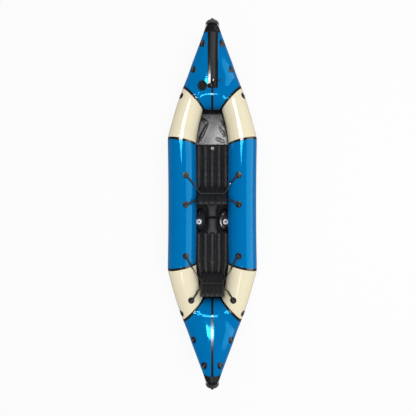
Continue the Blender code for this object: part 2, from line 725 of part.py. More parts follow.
def mats(black, white, grey):
    """Two inflated floor mats. Each has a tongue to the boat's middle and, on one side, a valve lobe."""
    middle_z = MAT_BOTTOM + MAT_HEIGHT / 2
    width = CHAMBERS * MAT_PITCH
    low, high = FRONT_MAT_Y
    place = Matrix.Translation((0, low, middle_z))
    front = ribbed_pad("floor_mat_front", width, high - low, MAT_HEIGHT, MAT_GROOVE, black, place, True)
    low, high = REAR_MAT_Y
    place = Matrix.Translation((0, low, middle_z))
    narrowing = (REAR_TAPER_LENGTH, REAR_TAPER)
    rear = ribbed_pad(
        "floor_mat_rear", width, high - low, MAT_HEIGHT, MAT_GROOVE, black, place, True, narrowing
    )
    for mat, name, side, near, far in (
        (front, "front", -1, TONGUE_MEET_Y + 0.001, FRONT_MAT_Y[0] + 0.05),
        (rear, "rear", 1, REAR_MAT_Y[1] - 0.05, TONGUE_MEET_Y - 0.001),
    ):
        centre_x = side * (TONGUE_WIDE - TONGUE_HALF_WIDTH) / 2
        size = (TONGUE_WIDE + TONGUE_HALF_WIDTH, far - near, TONGUE_HEIGHT)
        tongue_place = Matrix.Translation((centre_x, (near + far) / 2, MAT_BOTTOM + 0.001))
        join(mat, block(f"tongue_{name}", size, black, tongue_place))
        lobe = [(0, 0), (0.90, 0), (1.0, 0.018), (0.93, 0.034), (0.70, LOBE_HEIGHT), (0, LOBE_HEIGHT)]
        stretch = Matrix.Diagonal((LOBE_HALF_WIDTH, LOBE_HALF_LENGTH, 1.0, 1.0))
        lobe_place = Matrix.Translation((side * LOBE_X, LOBE_Y, MAT_BOTTOM)) @ stretch
        join(mat, turned(f"lobe_{name}", lobe, black, lobe_place, steps=20, closed=False))
        valve_place = Matrix.Translation((side * MAT_VALVE_X, MAT_VALVE_Y, MAT_BOTTOM + LOBE_HEIGHT + GAP))
        bore = MAT_BUTTON_RADIUS + 0.0006
        ring = [(bore, 0), (MAT_VALVE_RADIUS, 0), (MAT_VALVE_RADIUS, 0.005), (0.023, 0.0095), (bore, 0.0095)]
        turned(f"mat_valve_{name}", ring, white, valve_place, steps=20)
        button = [(0, 0.005), (MAT_BUTTON_RADIUS, 0.005), (MAT_BUTTON_RADIUS, 0.0095), (0, 0.0105)]
        turned(f"mat_valve_button_{name}", button, grey, valve_place, steps=16, closed=False)


def back_frame(y):
    """A backrest's place: local Y runs up the back from its hinge, and local Z faces the bow."""
    up = Vector((0.0, -math.sin(BACK_LEAN), math.cos(BACK_LEAN)))
    side_way = Vector((-1.0, 0.0, 0.0))
    made = Matrix((side_way, up, side_way.cross(up))).transposed().to_4x4()
    made.translation = Vector((0.0, y, BACK_HINGE_Z))
    return made


def backrests(black):
    for name, y, width in (("front", FRONT_BACK_Y, FRONT_BACK_WIDTH), ("rear", REAR_BACK_Y, REAR_BACK_WIDTH)):
        place = back_frame(y)
        ribbed_pad(f"backrest_{name}", width, BACK_HEIGHT, BACK_THICKNESS, BACK_GROOVE, black, place)


def grab_loops(black):
    """A webbing handle over each nose, hinged where its two ends are sewn down."""
    angles = np.linspace(0, math.pi, 13)
    for end, name in ((1, "grab_loop_bow"), (-1, "grab_loop_stern")):
        rings = []
        for angle in angles:
            cos, sin = math.cos(angle), math.sin(angle)
            out = Vector((cos * GRAB_RISE, 0, sin * GRAB_HALF_SPAN)).normalized() * GRAB_THICKNESS / 2
            centre = Vector((GRAB_HALF_SPAN * cos, end * GRAB_Y, GRAB_Z + GRAB_RISE * sin))
            along = Vector((0, GRAB_WIDTH / 2, 0))
            corners = ((out, along), (out, -along), (-out, -along), (-out, along))
            rings.append([centre + across + edge for across, edge in corners])
        loft(name, rings, black)


def tie_down_patches(black):
    """Twelve round the boat's ends, and eight along the cockpit that the backrests are laced to."""
    for end, end_name in ((1, "bow"), (-1, "stern")):
        for i, (x, y) in enumerate(END_PATCHES[end], 1):
            for side, side_name in ((-1, "left"), (1, "right")):
                name = f"tie_down_{end_name}_{side_name}_{i}"
                if i < 3:
                    half = (-1, 0) if side < 0 else (0, 1)
                    patch(name, end_cone(end), side * x, end * y, half, CONE_PATCH_LIFT, black)
                else:
                    patch(name, quarter_tube(side, end), side * x, end * y, (0, 1), TUBE_PATCH_LIFT, black)
    for name, (x, y) in LACING_PATCHES.items():
        for side, side_name in ((-1, "left"), (1, "right")):
            surface, u_range = lacing_tube(side, y)
            patch(f"lacing_patch_{name}_{side_name}", surface, side * x, y, u_range, TUBE_PATCH_LIFT, black)


def lacing_tube(side, y):
    if y < -MID_HALF_LENGTH:
        return quarter_tube(side, -1), (0, 1)
    return mid_tube(side), (-1, 1)


def lacing_route(patch_name, steer, back_y, back_width, face):
    """Points of a lacing cord, from its left patch over the backrest (face 1) or behind it (face -1).

    steer is how far towards the backrest the cord has gone when it leaves the tube, in metres.
    """
    x, y = LACING_PATCHES[patch_name]
    surface, u_range = lacing_tube(1, y)
    u, turn = locate(surface, x, y, u_range)
    u_per_metre = 1 / MID_HALF_LENGTH if y > -MID_HALF_LENGTH else -1 / (MITRE_MIDDLE[1] - MID_HALF_LENGTH)
    leave_turn = math.radians(LACING_LEAVE_TURN)
    half = [surface(np.array(u), np.array(turn), LACING_START)]
    for part in (0.4, 0.75, 1.0):
        place = (np.array(u + steer * part * u_per_metre), np.array(mix(turn, leave_turn, part)))
        half.append(surface(*place, CORD_RADIUS + LACING_OFF_TUBE))
    depth = BACK_THICKNESS / 2 + CORD_RADIUS
    place = back_frame(back_y)
    for across, off in ((0.42, 0.013), (0.22, 0.004), (0.0, 0.003)):
        half.append(np.array(place @ Vector((-across * back_width, LACING_UP_BACK, face * (depth + off)))))
    return [point * [-1, 1, 1] for point in half] + half[-2::-1]


def smooth_through(points, spacing):
    """Evenly spaced points of a smooth curve through the given ones."""
    points = np.array(points)
    before = np.concatenate(([2 * points[0] - points[1]], points[:-2]))
    after = np.concatenate((points[2:], [2 * points[-1] - points[-2]]))
    parts = []
    for a, b, c, d in zip(before, points[:-1], points[1:], after):
        t = np.linspace(0, 1, 20, endpoint=False)[:, None]
        square, cube = a - 2.5 * b + 2 * c - d / 2, 1.5 * (b - c) + (d - a) / 2
        parts.append(b + (c - a) / 2 * t + square * t**2 + cube * t**3)
    fine = np.concatenate(parts + [points[-1:]])
    run = np.concatenate(([0], np.cumsum(np.linalg.norm(np.diff(fine, axis=0), axis=1))))
    even = np.linspace(0, run[-1], max(2, round(run[-1] / spacing)) + 1)
    return np.stack([np.interp(even, run, fine[:, i]) for i in range(3)], axis=-1)


def cord(name, points, finish):
    curve = bpy.data.curves.new(name, "CURVE")
    curve.dimensions = "3D"
    curve.bevel_depth = CORD_RADIUS
    curve.bevel_resolution = 2
    curve.use_fill_caps = True
    curve.render_resolution_u = 0
    spline = curve.splines.new("POLY")
    spline.points.add(len(points) - 1)
    for made, point in zip(spline.points, points):
        made.co = (*point, 1.0)
    curve.materials.append(finish)
    bpy.context.collection.objects.link(bpy.data.objects.new(name, curve))


def lacing_cords(finish):
    for name, route in LACING.items():
        cord(f"lacing_cord_{name}", smooth_through(lacing_route(*route), CORD_SPACING), finish)


def main():
    clear_scene()
    blue = material("blue coated fabric", (0.003, 0.17, 0.43), 0.35)
    cream = material("cream coated fabric", (0.79, 0.72, 0.52), 0.4)
    black = material("black coated fabric", (0.02, 0.02, 0.022), 0.5)
    webbing = material("black webbing", (0.015, 0.015, 0.016), 0.8)
    plastic = material("black plastic", (0.012, 0.012, 0.013), 0.35)
    grey = material("grey plastic", (0.10, 0.11, 0.12), 0.4)
    white = material("white plastic", (0.8, 0.8, 0.8), 0.35)
    metal = material("plated metal", (0.5, 0.42, 0.3), 0.3, 1.0)
    bow = hull_tubes(blue, cream)
    seam_tapes(black)
    floor_sheet(black)
    nose_patches(black)
    zip_fastener(black, grey, metal)
    main_valve(bow, plastic, grey)
    mats(black, white, grey)
    backrests(black)
    grab_loops(webbing)
    tie_down_patches(black)
    lacing_cords(webbing)


main()
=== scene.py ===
"""The looks of an inflated two-seat packraft: coated fabric, welded tapes, webbing, cords, valves and zip.

The hull is a ring of eight inflated tubes. A point of a tube is given by u, its place along the tube,
and by turn, its angle round the tube: 0 points out of the boat, 90 degrees up, 180 degrees into the
cockpit and 270 degrees down.
"""

import json
import math

import bpy
import numpy as np
from mathutils import Matrix, Vector
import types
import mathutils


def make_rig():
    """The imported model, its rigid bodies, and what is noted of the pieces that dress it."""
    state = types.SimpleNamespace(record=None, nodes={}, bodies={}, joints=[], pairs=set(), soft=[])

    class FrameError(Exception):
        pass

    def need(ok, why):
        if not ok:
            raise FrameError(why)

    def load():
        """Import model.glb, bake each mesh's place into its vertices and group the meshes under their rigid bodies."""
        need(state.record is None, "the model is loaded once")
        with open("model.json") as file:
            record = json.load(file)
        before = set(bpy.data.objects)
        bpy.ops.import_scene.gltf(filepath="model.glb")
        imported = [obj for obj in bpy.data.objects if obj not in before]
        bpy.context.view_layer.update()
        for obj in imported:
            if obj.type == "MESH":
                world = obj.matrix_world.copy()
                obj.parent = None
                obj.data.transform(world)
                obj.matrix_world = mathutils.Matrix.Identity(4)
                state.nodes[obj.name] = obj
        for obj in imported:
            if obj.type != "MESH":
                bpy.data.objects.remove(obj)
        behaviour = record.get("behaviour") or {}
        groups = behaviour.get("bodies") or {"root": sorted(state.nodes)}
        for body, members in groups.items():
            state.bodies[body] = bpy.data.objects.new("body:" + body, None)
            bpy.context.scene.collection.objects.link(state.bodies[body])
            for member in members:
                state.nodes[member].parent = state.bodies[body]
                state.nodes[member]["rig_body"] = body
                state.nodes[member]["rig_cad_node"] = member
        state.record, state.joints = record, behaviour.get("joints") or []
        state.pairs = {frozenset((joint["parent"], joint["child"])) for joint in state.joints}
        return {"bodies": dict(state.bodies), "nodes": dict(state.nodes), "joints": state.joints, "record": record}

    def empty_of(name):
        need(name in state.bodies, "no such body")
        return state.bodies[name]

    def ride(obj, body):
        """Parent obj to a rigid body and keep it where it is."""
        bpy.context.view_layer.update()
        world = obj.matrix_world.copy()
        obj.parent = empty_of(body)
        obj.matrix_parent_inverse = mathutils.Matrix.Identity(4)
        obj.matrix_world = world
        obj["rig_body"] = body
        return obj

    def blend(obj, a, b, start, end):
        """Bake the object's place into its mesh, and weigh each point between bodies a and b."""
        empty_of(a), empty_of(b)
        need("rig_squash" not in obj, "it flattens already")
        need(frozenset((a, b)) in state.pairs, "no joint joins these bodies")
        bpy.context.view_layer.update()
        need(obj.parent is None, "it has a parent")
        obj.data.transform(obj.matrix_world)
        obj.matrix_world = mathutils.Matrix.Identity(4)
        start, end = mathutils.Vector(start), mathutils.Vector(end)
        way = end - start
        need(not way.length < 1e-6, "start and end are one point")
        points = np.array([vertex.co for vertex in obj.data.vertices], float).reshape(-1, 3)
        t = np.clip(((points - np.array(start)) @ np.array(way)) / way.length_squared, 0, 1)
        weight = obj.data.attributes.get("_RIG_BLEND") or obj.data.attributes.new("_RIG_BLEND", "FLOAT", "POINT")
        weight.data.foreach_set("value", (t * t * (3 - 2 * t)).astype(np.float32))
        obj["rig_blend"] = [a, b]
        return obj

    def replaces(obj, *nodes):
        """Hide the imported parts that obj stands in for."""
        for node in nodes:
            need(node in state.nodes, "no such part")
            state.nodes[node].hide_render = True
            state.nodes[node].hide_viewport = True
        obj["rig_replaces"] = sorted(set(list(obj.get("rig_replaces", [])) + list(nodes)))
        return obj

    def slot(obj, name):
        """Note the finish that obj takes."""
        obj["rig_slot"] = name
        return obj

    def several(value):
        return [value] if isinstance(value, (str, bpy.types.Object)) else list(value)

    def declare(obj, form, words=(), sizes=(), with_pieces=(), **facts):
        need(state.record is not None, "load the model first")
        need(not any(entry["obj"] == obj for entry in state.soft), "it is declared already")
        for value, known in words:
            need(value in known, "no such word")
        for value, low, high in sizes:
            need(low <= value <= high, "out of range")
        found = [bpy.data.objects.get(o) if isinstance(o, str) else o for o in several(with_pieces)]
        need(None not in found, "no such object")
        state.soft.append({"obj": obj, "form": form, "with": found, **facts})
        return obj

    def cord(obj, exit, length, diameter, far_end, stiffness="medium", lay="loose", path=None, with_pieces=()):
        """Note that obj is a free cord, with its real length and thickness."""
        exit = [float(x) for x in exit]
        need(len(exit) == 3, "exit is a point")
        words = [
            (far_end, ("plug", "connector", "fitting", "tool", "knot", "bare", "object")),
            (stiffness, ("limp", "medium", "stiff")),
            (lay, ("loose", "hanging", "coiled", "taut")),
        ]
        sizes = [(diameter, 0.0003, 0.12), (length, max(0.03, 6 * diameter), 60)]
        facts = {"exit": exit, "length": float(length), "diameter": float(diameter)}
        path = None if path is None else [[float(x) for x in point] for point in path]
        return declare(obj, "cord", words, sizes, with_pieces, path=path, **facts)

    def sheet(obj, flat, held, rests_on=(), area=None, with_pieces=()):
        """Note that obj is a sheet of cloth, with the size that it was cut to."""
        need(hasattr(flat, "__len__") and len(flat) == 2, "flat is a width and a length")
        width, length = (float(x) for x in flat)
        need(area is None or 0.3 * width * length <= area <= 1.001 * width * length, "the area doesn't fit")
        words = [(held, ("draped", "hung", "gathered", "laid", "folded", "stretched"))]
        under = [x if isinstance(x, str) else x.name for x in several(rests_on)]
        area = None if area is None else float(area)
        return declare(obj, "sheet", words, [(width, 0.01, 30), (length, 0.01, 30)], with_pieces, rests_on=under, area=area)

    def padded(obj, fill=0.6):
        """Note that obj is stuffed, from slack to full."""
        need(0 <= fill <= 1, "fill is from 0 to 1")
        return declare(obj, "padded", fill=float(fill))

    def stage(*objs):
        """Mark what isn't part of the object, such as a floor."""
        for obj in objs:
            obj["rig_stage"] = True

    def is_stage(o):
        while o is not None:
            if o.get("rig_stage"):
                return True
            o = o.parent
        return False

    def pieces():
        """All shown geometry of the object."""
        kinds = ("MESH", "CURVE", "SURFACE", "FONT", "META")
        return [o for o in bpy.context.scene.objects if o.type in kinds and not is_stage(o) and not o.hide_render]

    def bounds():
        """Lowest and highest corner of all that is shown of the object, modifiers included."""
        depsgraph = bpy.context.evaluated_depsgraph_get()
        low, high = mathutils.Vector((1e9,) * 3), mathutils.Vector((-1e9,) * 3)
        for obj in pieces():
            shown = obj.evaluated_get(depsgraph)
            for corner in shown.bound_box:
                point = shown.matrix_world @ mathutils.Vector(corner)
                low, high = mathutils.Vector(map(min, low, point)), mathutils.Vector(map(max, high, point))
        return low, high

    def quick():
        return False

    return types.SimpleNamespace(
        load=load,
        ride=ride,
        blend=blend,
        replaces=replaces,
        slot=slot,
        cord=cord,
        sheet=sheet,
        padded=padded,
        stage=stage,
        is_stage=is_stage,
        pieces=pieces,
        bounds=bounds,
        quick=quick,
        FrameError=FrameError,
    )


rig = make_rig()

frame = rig.load()
frame_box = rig.bounds()

HALF_PI = math.pi / 2
FULL_TURN = 2 * math.pi

# Hull tubes, in metres; plan places are on the right-hand bow side
TUBE_RADIUS = 0.1435
HULL_BOTTOM = 0.003
WALL = 0.001
MID_AXIS_X = 0.3025
MID_FLARE = 0.007
MID_HALF_LENGTH = 0.633
SEAM_LEAN = math.radians(10.7)
MITRE_IN = (0.0948, 0.970)
MITRE_OUT = (0.2975, 1.190)
QUARTER_BULGE = 0.010
QUARTER_BEND = 0.3

# Bow and stern: a straight-sided wedge with a rounded nose, a straight ridge and a rising keel
NOSE_Y = 1.800
NOSE_START_Y = 1.700
APEX_Y = 1.8754
WEDGE_TAPER = 0.434
RIDGE_START_Y = 1.080
RIDGE_START_Z = 0.2615
RIDGE_SLOPE = math.tan(math.radians(7.5))
KEEL_START_Y = 1.100
KEEL_RISE = 0.227
KEEL_POWER = 1.5
COCKPIT_SHOULDER = 0.145
CONE_BLEND = 0.35

# Seam tapes
TAPE_HALF_WIDTH = 0.010
TAPE_LIFT = 0.0003
TAPE_TOP = 0.0011
TAPE_SPREAD = 1.2
TAPE_EDGE = 0.0002
# Rows from a tape's edge to its seam as shares of its width, and from the middle of a cone's centre tape
TAPE_STEPS = np.array([1.0, 0.93, 0.6, 0.2])
STRIP_STEPS = np.array([0.0, 0.5, 0.93, 1.0])
TAPE_HEIGHTS = np.array([0.0, 0.8, 1.0, 1.0, 1.0, 1.0, 1.0, 0.8, 0.0])
# Points round a cone where its centre tape starts, and cells of its tape along the cockpit's edge
STRIP_START = {"bow": 35, "stern": 14}
COCKPIT_CELLS = 6

# Points round a tube, and the spacing of a tube's rows
ROUND = 144
ROW_SPACING = 0.011
GAP = 0.0003

# The boat's sides, the ends of its tubes, and its cones
SIDES = ((-1, "left"), (1, "right"))
ENDS = ((1, "front"), (-1, "rear"))
CONES = ((1, "bow"), (-1, "stern"))


# Plain arithmetic

def smooth(value):
    """0 below 0, 1 above 1, and the curve 3v^2 - 2v^3 between."""
    held = np.clip(value, 0.0, 1.0)
    return held * held * (3 - 2 * held)


def mix(start, end, u):
    return start + (end - start) * u


def bump(value, width):
    """A bell, exp(-(value / width)^2)."""
    return np.exp(-((value / width) ** 2))


def stacked(*values):
    """Arrays of x, y and z, or of other values, side by side in one array."""
    return np.stack(np.broadcast_arrays(*values), axis=-1)


def angles_round(count):
    return np.linspace(0, FULL_TURN, count, endpoint=False)


def run_along(path):
    """How far along a path each of its points lies."""
    steps = np.linalg.norm(np.diff(path, axis=0), axis=1)
    return np.concatenate(([0.0], np.cumsum(steps)))


# Hull surfaces. Each gives points for arrays of u and turn, grown outwards by grow.

MITRE_MIDDLE = tuple(mix(MITRE_IN[i], MITRE_OUT[i], 0.5) for i in range(2))
MITRE_HALF = math.dist(MITRE_IN, MITRE_OUT) / 2
MITRE_LEAN = math.atan2(MITRE_OUT[1] - MITRE_IN[1], MITRE_OUT[0] - MITRE_IN[0])
QUARTER_START = (MID_AXIS_X + MID_FLARE, MID_HALF_LENGTH)
QUARTER_LENGTH = math.dist(QUARTER_START, MITRE_MIDDLE)
QUARTER_LEAN = math.atan2(QUARTER_START[0] - MITRE_MIDDLE[0], MITRE_MIDDLE[1] - QUARTER_START[1])
MITRE_RADIUS = MITRE_HALF * math.cos(MITRE_LEAN - QUARTER_LEAN)


def section(centre_x, centre_y, lean, half_width, radius, turn, grow, side, end):
    """An upright ellipse on the hull's lowest level: centre + half_width cos(turn) along the lean,
    radius sin(turn) up, mirrored to its side and end.
    """
    level = (half_width + grow) * np.cos(turn)
    x = side * (centre_x + np.cos(lean) * level)
    y = end * (centre_y + np.sin(lean) * level)
    z = HULL_BOTTOM + radius + (radius + grow) * np.sin(turn)
    return stacked(x, y, z)


def mid_tube(side):
    """A straight tube from the rear seam, u = -1, to the front seam, u = 1."""

    def surface(u, turn, grow=0.0):
        lean = SEAM_LEAN * u
        centre_x = MID_AXIS_X + MID_FLARE * u**2
        half_width = TUBE_RADIUS / np.cos(lean)
        return section(centre_x, MID_HALF_LENGTH * u, lean, half_width, TUBE_RADIUS, turn, grow, side, 1)

    return surface


def quarter_tube(side, end):
    """A tapering tube from the mid tube's seam, u = 0, to the slanting mitre, u = 1."""

    def surface(u, turn, grow=0.0):
        lean = mix(SEAM_LEAN, MITRE_LEAN, u)
        square = QUARTER_LEAN * smooth(u / QUARTER_BEND)
        radius = mix(TUBE_RADIUS, MITRE_RADIUS, u)
        bulge = QUARTER_BULGE * 4 * u * (1 - u)
        centre_x = mix(QUARTER_START[0], MITRE_MIDDLE[0], u) + bulge
        centre_y = mix(QUARTER_START[1], MITRE_MIDDLE[1], u)
        half_width = radius / np.cos(lean - square)
        return section(centre_x, centre_y, lean, half_width, radius, turn, grow, side, end)

    return surface


def nose_part(y):
    return np.clip((y - NOSE_START_Y) / (NOSE_Y - NOSE_START_Y), 0.0, 1.0)


def wedge_half_width(y):
    return WEDGE_TAPER * (APEX_Y - y)


def outline_y(x):
    """How far forward the bow's plan outline is at x, found by halving."""
    low = np.full_like(x, MITRE_IN[1])
    high = np.full_like(x, NOSE_Y)
    for _ in range(40):
        y = (low + high) / 2
        inside = wedge_half_width(y) * np.sqrt(1 - nose_part(y) ** 2) > x
        low = np.where(inside, y, low)
        high = np.where(inside, high, y)
    return (low + high) / 2


def ridge_z(y):
    return RIDGE_START_Z + RIDGE_SLOPE * (y - RIDGE_START_Y)


def keel_z(y):
    part = np.clip((y - KEEL_START_Y) / (NOSE_Y - KEEL_START_Y), 0.0, None)
    return HULL_BOTTOM + KEEL_RISE * part**KEEL_POWER


def deck_z(x, y):
    """Height of the cone's deck over a plan point: an ellipse across the wedge, closed at the nose."""
    beside = 1 - (x / wedge_half_width(y)) ** 2 - nose_part(y) ** 2
    half = (ridge_z(y) - keel_z(y)) / 2
    return (ridge_z(y) + keel_z(y)) / 2 + half * np.sqrt(np.clip(beside, 0.0, None))


# Across the boat, how far a mitre tape's edge lies from its mitre: at the cockpit and at the outline
MITRE_SHIFT_IN = TAPE_HALF_WIDTH / math.sin(MITRE_LEAN)
MITRE_SHIFT_OUT = TAPE_HALF_WIDTH * 0.44
COLUMN_OUT = (0.0, TAPE_HALF_WIDTH, MITRE_OUT[0] - MITRE_SHIFT_OUT, MITRE_OUT[0])
COLUMN_IN = (0.0, TAPE_HALF_WIDTH, MITRE_IN[0] - MITRE_SHIFT_IN, MITRE_IN[0])


def end_cone(end):
    """The bow (end = 1) or stern (end = -1), from its left mitre, u = -1, to its right one, u = 1.

    A row runs from a cockpit edge point to an outline point; along it the skin's height is the cone's,
    rounded down to the cockpit edge, and it blends into a plain tube section beside the mitre.
    """

    def level_and_height(u, turn):
        size = np.abs(u)
        out_x = MITRE_OUT[0] * size
        in_x = np.interp(out_x, COLUMN_OUT, COLUMN_IN)
        out_y = outline_y(out_x)
        length = np.hypot(out_x - in_x, out_y - MITRE_IN[1])
        crown = mix(COCKPIT_SHOULDER, MITRE_HALF, size) / length
        cos, sin = np.cos(turn), np.sin(turn)
        across = np.where(cos < 0, crown * (1 + cos), crown + (1 - crown) * cos)
        x = mix(in_x, out_x, across)
        y = mix(MITRE_IN[1], out_y, across)
        middle = (ridge_z(y) + keel_z(y)) / 2
        rise = (deck_z(x, y) - middle) * np.where(cos < 0, np.abs(sin), 1.0) * np.sign(sin)
        as_tube = HULL_BOTTOM + MITRE_RADIUS * (1 + sin)
        blend = smooth((1 - size) / CONE_BLEND)
        along_x = (out_x - in_x) / length
        along_y = (out_y - MITRE_IN[1]) / length
        return x, y, mix(as_tube, middle + rise, blend), across * length, along_x, along_y

    def surface(u, turn, grow=0.0):
        u, turn = np.broadcast_arrays(np.asarray(u, float), np.asarray(turn, float))
        x, y, z, _, along_x, along_y = level_and_height(u, turn)
        step = 1e-4
        after = level_and_height(u, turn + step)
        before = level_and_height(u, turn - step)
        rise = after[2] - before[2]
        run = after[3] - before[3]
        size = np.hypot(rise, run)
        x = x + grow * rise / size * along_x
        y = y + grow * rise / size * along_y
        z = z - grow * run / size
        return stacked(np.where(u < 0, -1.0, 1.0) * x, end * y, z)

    return surface


def grid(surface, us, turns, grow=0.0):
    return surface(np.asarray(us)[:, None], np.asarray(turns)[None, :], grow)


# Meshes. Points are arrays, and faces are arrays of point numbers.

def quads(rows, columns, around=False, keep=None):
    """The cells of a grid of points, row by row; around joins the last column to the first."""
    cells = columns if around else columns - 1
    i, j = np.meshgrid(np.arange(rows - 1), np.arange(cells), indexing="ij")
    if keep is not None:
        i, j = i[keep], j[keep]
    i, j = i.ravel(), j.ravel()
    k = (j + 1) % columns
    here, beyond = i * columns, (i + 1) * columns
    return stacked(here + j, here + k, beyond + k, beyond + j)


def walled(faces, count):
    """A wall between two like grids of count points: outer faces, inner faces turned round, and borders."""
    ends = np.roll(faces, -1, axis=1)
    edges = stacked(faces.ravel(), ends.ravel())
    forward = edges[:, 0] * count + edges[:, 1]
    backward = edges[:, 1] * count + edges[:, 0]
    border = edges[~np.isin(forward, backward)]
    sides = stacked(border[:, 1], border[:, 0], border[:, 0] + count, border[:, 1] + count)
    return np.concatenate((faces, faces[:, ::-1] + count, sides))


def wall(outer, inner, around=False, keep=None):
    """Points and faces of the wall between two grids."""
    rows, columns = outer.shape[:2]
    faces = walled(quads(rows, columns, around, keep=keep), rows * columns)
    return np.concatenate((outer.reshape(-1, 3), inner.reshape(-1, 3))), [faces]


def lofted(rings, closed=False):
    """A skin through rings of points, with flat ends, or closed from its last ring to its first."""
    rings = np.asarray(rings, float)
    count, size = rings.shape[:2]
    if closed:
        return rings.reshape(-1, 3), [quads(count + 1, size, around=True) % (count * size)]
    ends = np.stack((np.arange(size), count * size - 1 - np.arange(size)))
    return rings.reshape(-1, 3), [quads(count, size, around=True), ends]


def facing_out(shape):
    """A shape's points and faces. The faces are turned round where the volume they enclose is negative."""
    points, faces = shape
    points = np.asarray(points, float).reshape(-1, 3)
    volume = 0.0
    for group in faces:
        first = points[group[:, 0]]
        for i in range(1, group.shape[1] - 1):
            volume += np.einsum("ij,ij->", first, np.cross(points[group[:, i]], points[group[:, i + 1]]))
    return points, [group[:, ::-1] for group in faces] if volume < 0 else faces


def linked(name, data):
    """A new object in the scene."""
    made = bpy.data.objects.new(name, data)
    bpy.context.collection.objects.link(made)
    return made


def add_piece(name, shape, finish, body="hull", stands_for=(), cloth=None, sharp=40):
    """Puts a closed shape into the scene, on its body, in place of the CAD nodes it stands for.

    cloth gives each point's place in the material's own pattern, in metres.
    """
    points, faces = facing_out(shape)
    mesh = bpy.data.meshes.new(name)
    mesh.from_pydata(points.tolist(), [], [face for group in faces for face in group.tolist()])
    mesh.shade_smooth()
    mesh.set_sharp_from_angle(angle=math.radians(sharp))
    if cloth is not None:
        layer = mesh.attributes.new("cloth", "FLOAT_VECTOR", "POINT")
        layer.data.foreach_set("vector", np.asarray(cloth, float).ravel())
    mesh.materials.append(finish.material)
    piece = linked(name, mesh)
    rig.slot(piece, finish.slot)
    if body:
        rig.ride(piece, body)
    if stands_for:
        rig.replaces(piece, *stands_for)
    return piece


def merged(*shapes):
    """Several separate shapes as one list of points and faces."""
    points, faces, start = [], [], 0
    for shape_points, shape_faces in map(facing_out, shapes):
        points.append(shape_points)
        faces += [group + start for group in shape_faces]
        start += len(shape_points)
    return np.concatenate(points), faces


def placed(shape, place):
    """A shape carried from its own axes to a place."""
    points, faces = shape
    turn = np.array(place.to_3x3())
    return np.asarray(points, float).reshape(-1, 3) @ turn.T + np.array(place.translation), faces


def turned(profile, steps=64, closed=False):
    """A shape turned round the local Z axis: profile points (r, z) go to (r cos t, r sin t, z)."""
    radius, height = np.asarray(profile, float).T[..., None]
    angles = angles_round(steps)
    return lofted(stacked(radius * np.cos(angles), radius * np.sin(angles), height), closed)


def add_turned(name, profile, place, finish, body="hull", node=None, steps=48, closed=False):
    """A turned piece at a place, in place of one node or none."""
    stands_for = (node,) if node else ()
    return add_piece(name, placed(turned(profile, steps, closed), place), finish, body, stands_for)


def rectangle(left, low, right, high):
    return [(left, low), (right, low), (right, high), (left, high)]


def rounded(corners, radius, points=5):
    """A closed outline with its corners cut back by radius along both sides and bridged by
    the quadratic curve (1 - t)^2 a + 2 t (1 - t) corner + t^2 b.
    """
    corners = np.asarray(corners, float)
    t = np.linspace(0, 1, points)[:, None]
    outline = []
    for i, corner in enumerate(corners):
        before, after = corners[i - 1] - corner, corners[(i + 1) % len(corners)] - corner
        reach_in = min(radius, np.linalg.norm(before) / 2.01)
        reach_out = min(radius, np.linalg.norm(after) / 2.01)
        a = corner + before / np.linalg.norm(before) * reach_in
        b = corner + after / np.linalg.norm(after) * reach_out
        outline.append((1 - t) ** 2 * a + 2 * t * (1 - t) * corner + t**2 * b)
    return np.concatenate(outline)


def slab(outline, heights, insets):
    """A plate over an outline (x, y): a ring at each height, drawn in by its inset towards the middle."""
    outline = np.asarray(outline, float)
    middle = outline.mean(axis=0)
    arms = outline - middle
    lengths = np.linalg.norm(arms, axis=1, keepdims=True)
    rings = []
    for height, inset in zip(heights, insets):
        flat = middle + arms * (1 - inset / lengths)
        rings.append(stacked(flat[:, 0], flat[:, 1], height))
    return lofted(rings)


def tube_frames(path, up=(0.0, 0.0, 1.0)):
    """For points along a path: two directions across it, the second nearest up."""
    path = np.asarray(path, float)
    along = np.gradient(path, axis=0)
    along /= np.linalg.norm(along, axis=1, keepdims=True)
    side = np.cross(along, np.broadcast_to(up, along.shape))
    side /= np.linalg.norm(side, axis=1, keepdims=True)
    return side, np.cross(side, along)


def swept(path, outline, up=(0.0, 0.0, 1.0), scale=None):
    """A profile carried along a path: outline points (a, b) go to path + a side + b upward."""
    path = np.asarray(path, float)
    side, upward = tube_frames(path, up)
    outline = np.asarray(outline, float)
    if scale is None:
        scale = np.ones(len(path))
    across = outline[:, 0][None, :, None] * scale[:, None, None] * side[:, None, :]
    rise = outline[:, 1][None, :, None] * scale[:, None, None] * upward[:, None, :]
    return lofted(path[:, None, :] + across + rise)


def circle(radius, points):
    angles = angles_round(points)
    return stacked(radius * np.cos(angles), radius * np.sin(angles))


def smooth_through(points, spacing):
    """Evenly spaced points of a smooth curve (Catmull-Rom) through the given ones."""
    points = np.array(points)
    before = np.concatenate(([2 * points[0] - points[1]], points[:-2]))
    after = np.concatenate((points[2:], [2 * points[-1] - points[-2]]))
    parts = []
    for a, b, c, d in zip(before, points[:-1], points[1:], after):
        t = np.linspace(0, 1, 20, endpoint=False)[:, None]
        square, cube = a - 2.5 * b + 2 * c - d / 2, 1.5 * (b - c) + (d - a) / 2
        parts.append(b + (c - a) / 2 * t + square * t**2 + cube * t**3)
    fine = np.concatenate(parts + [points[-1:]])
    run = run_along(fine)
    even = np.linspace(0, run[-1], max(2, round(run[-1] / spacing)) + 1)
    return stacked(*(np.interp(even, run, fine[:, i]) for i in range(3)))


# Materials

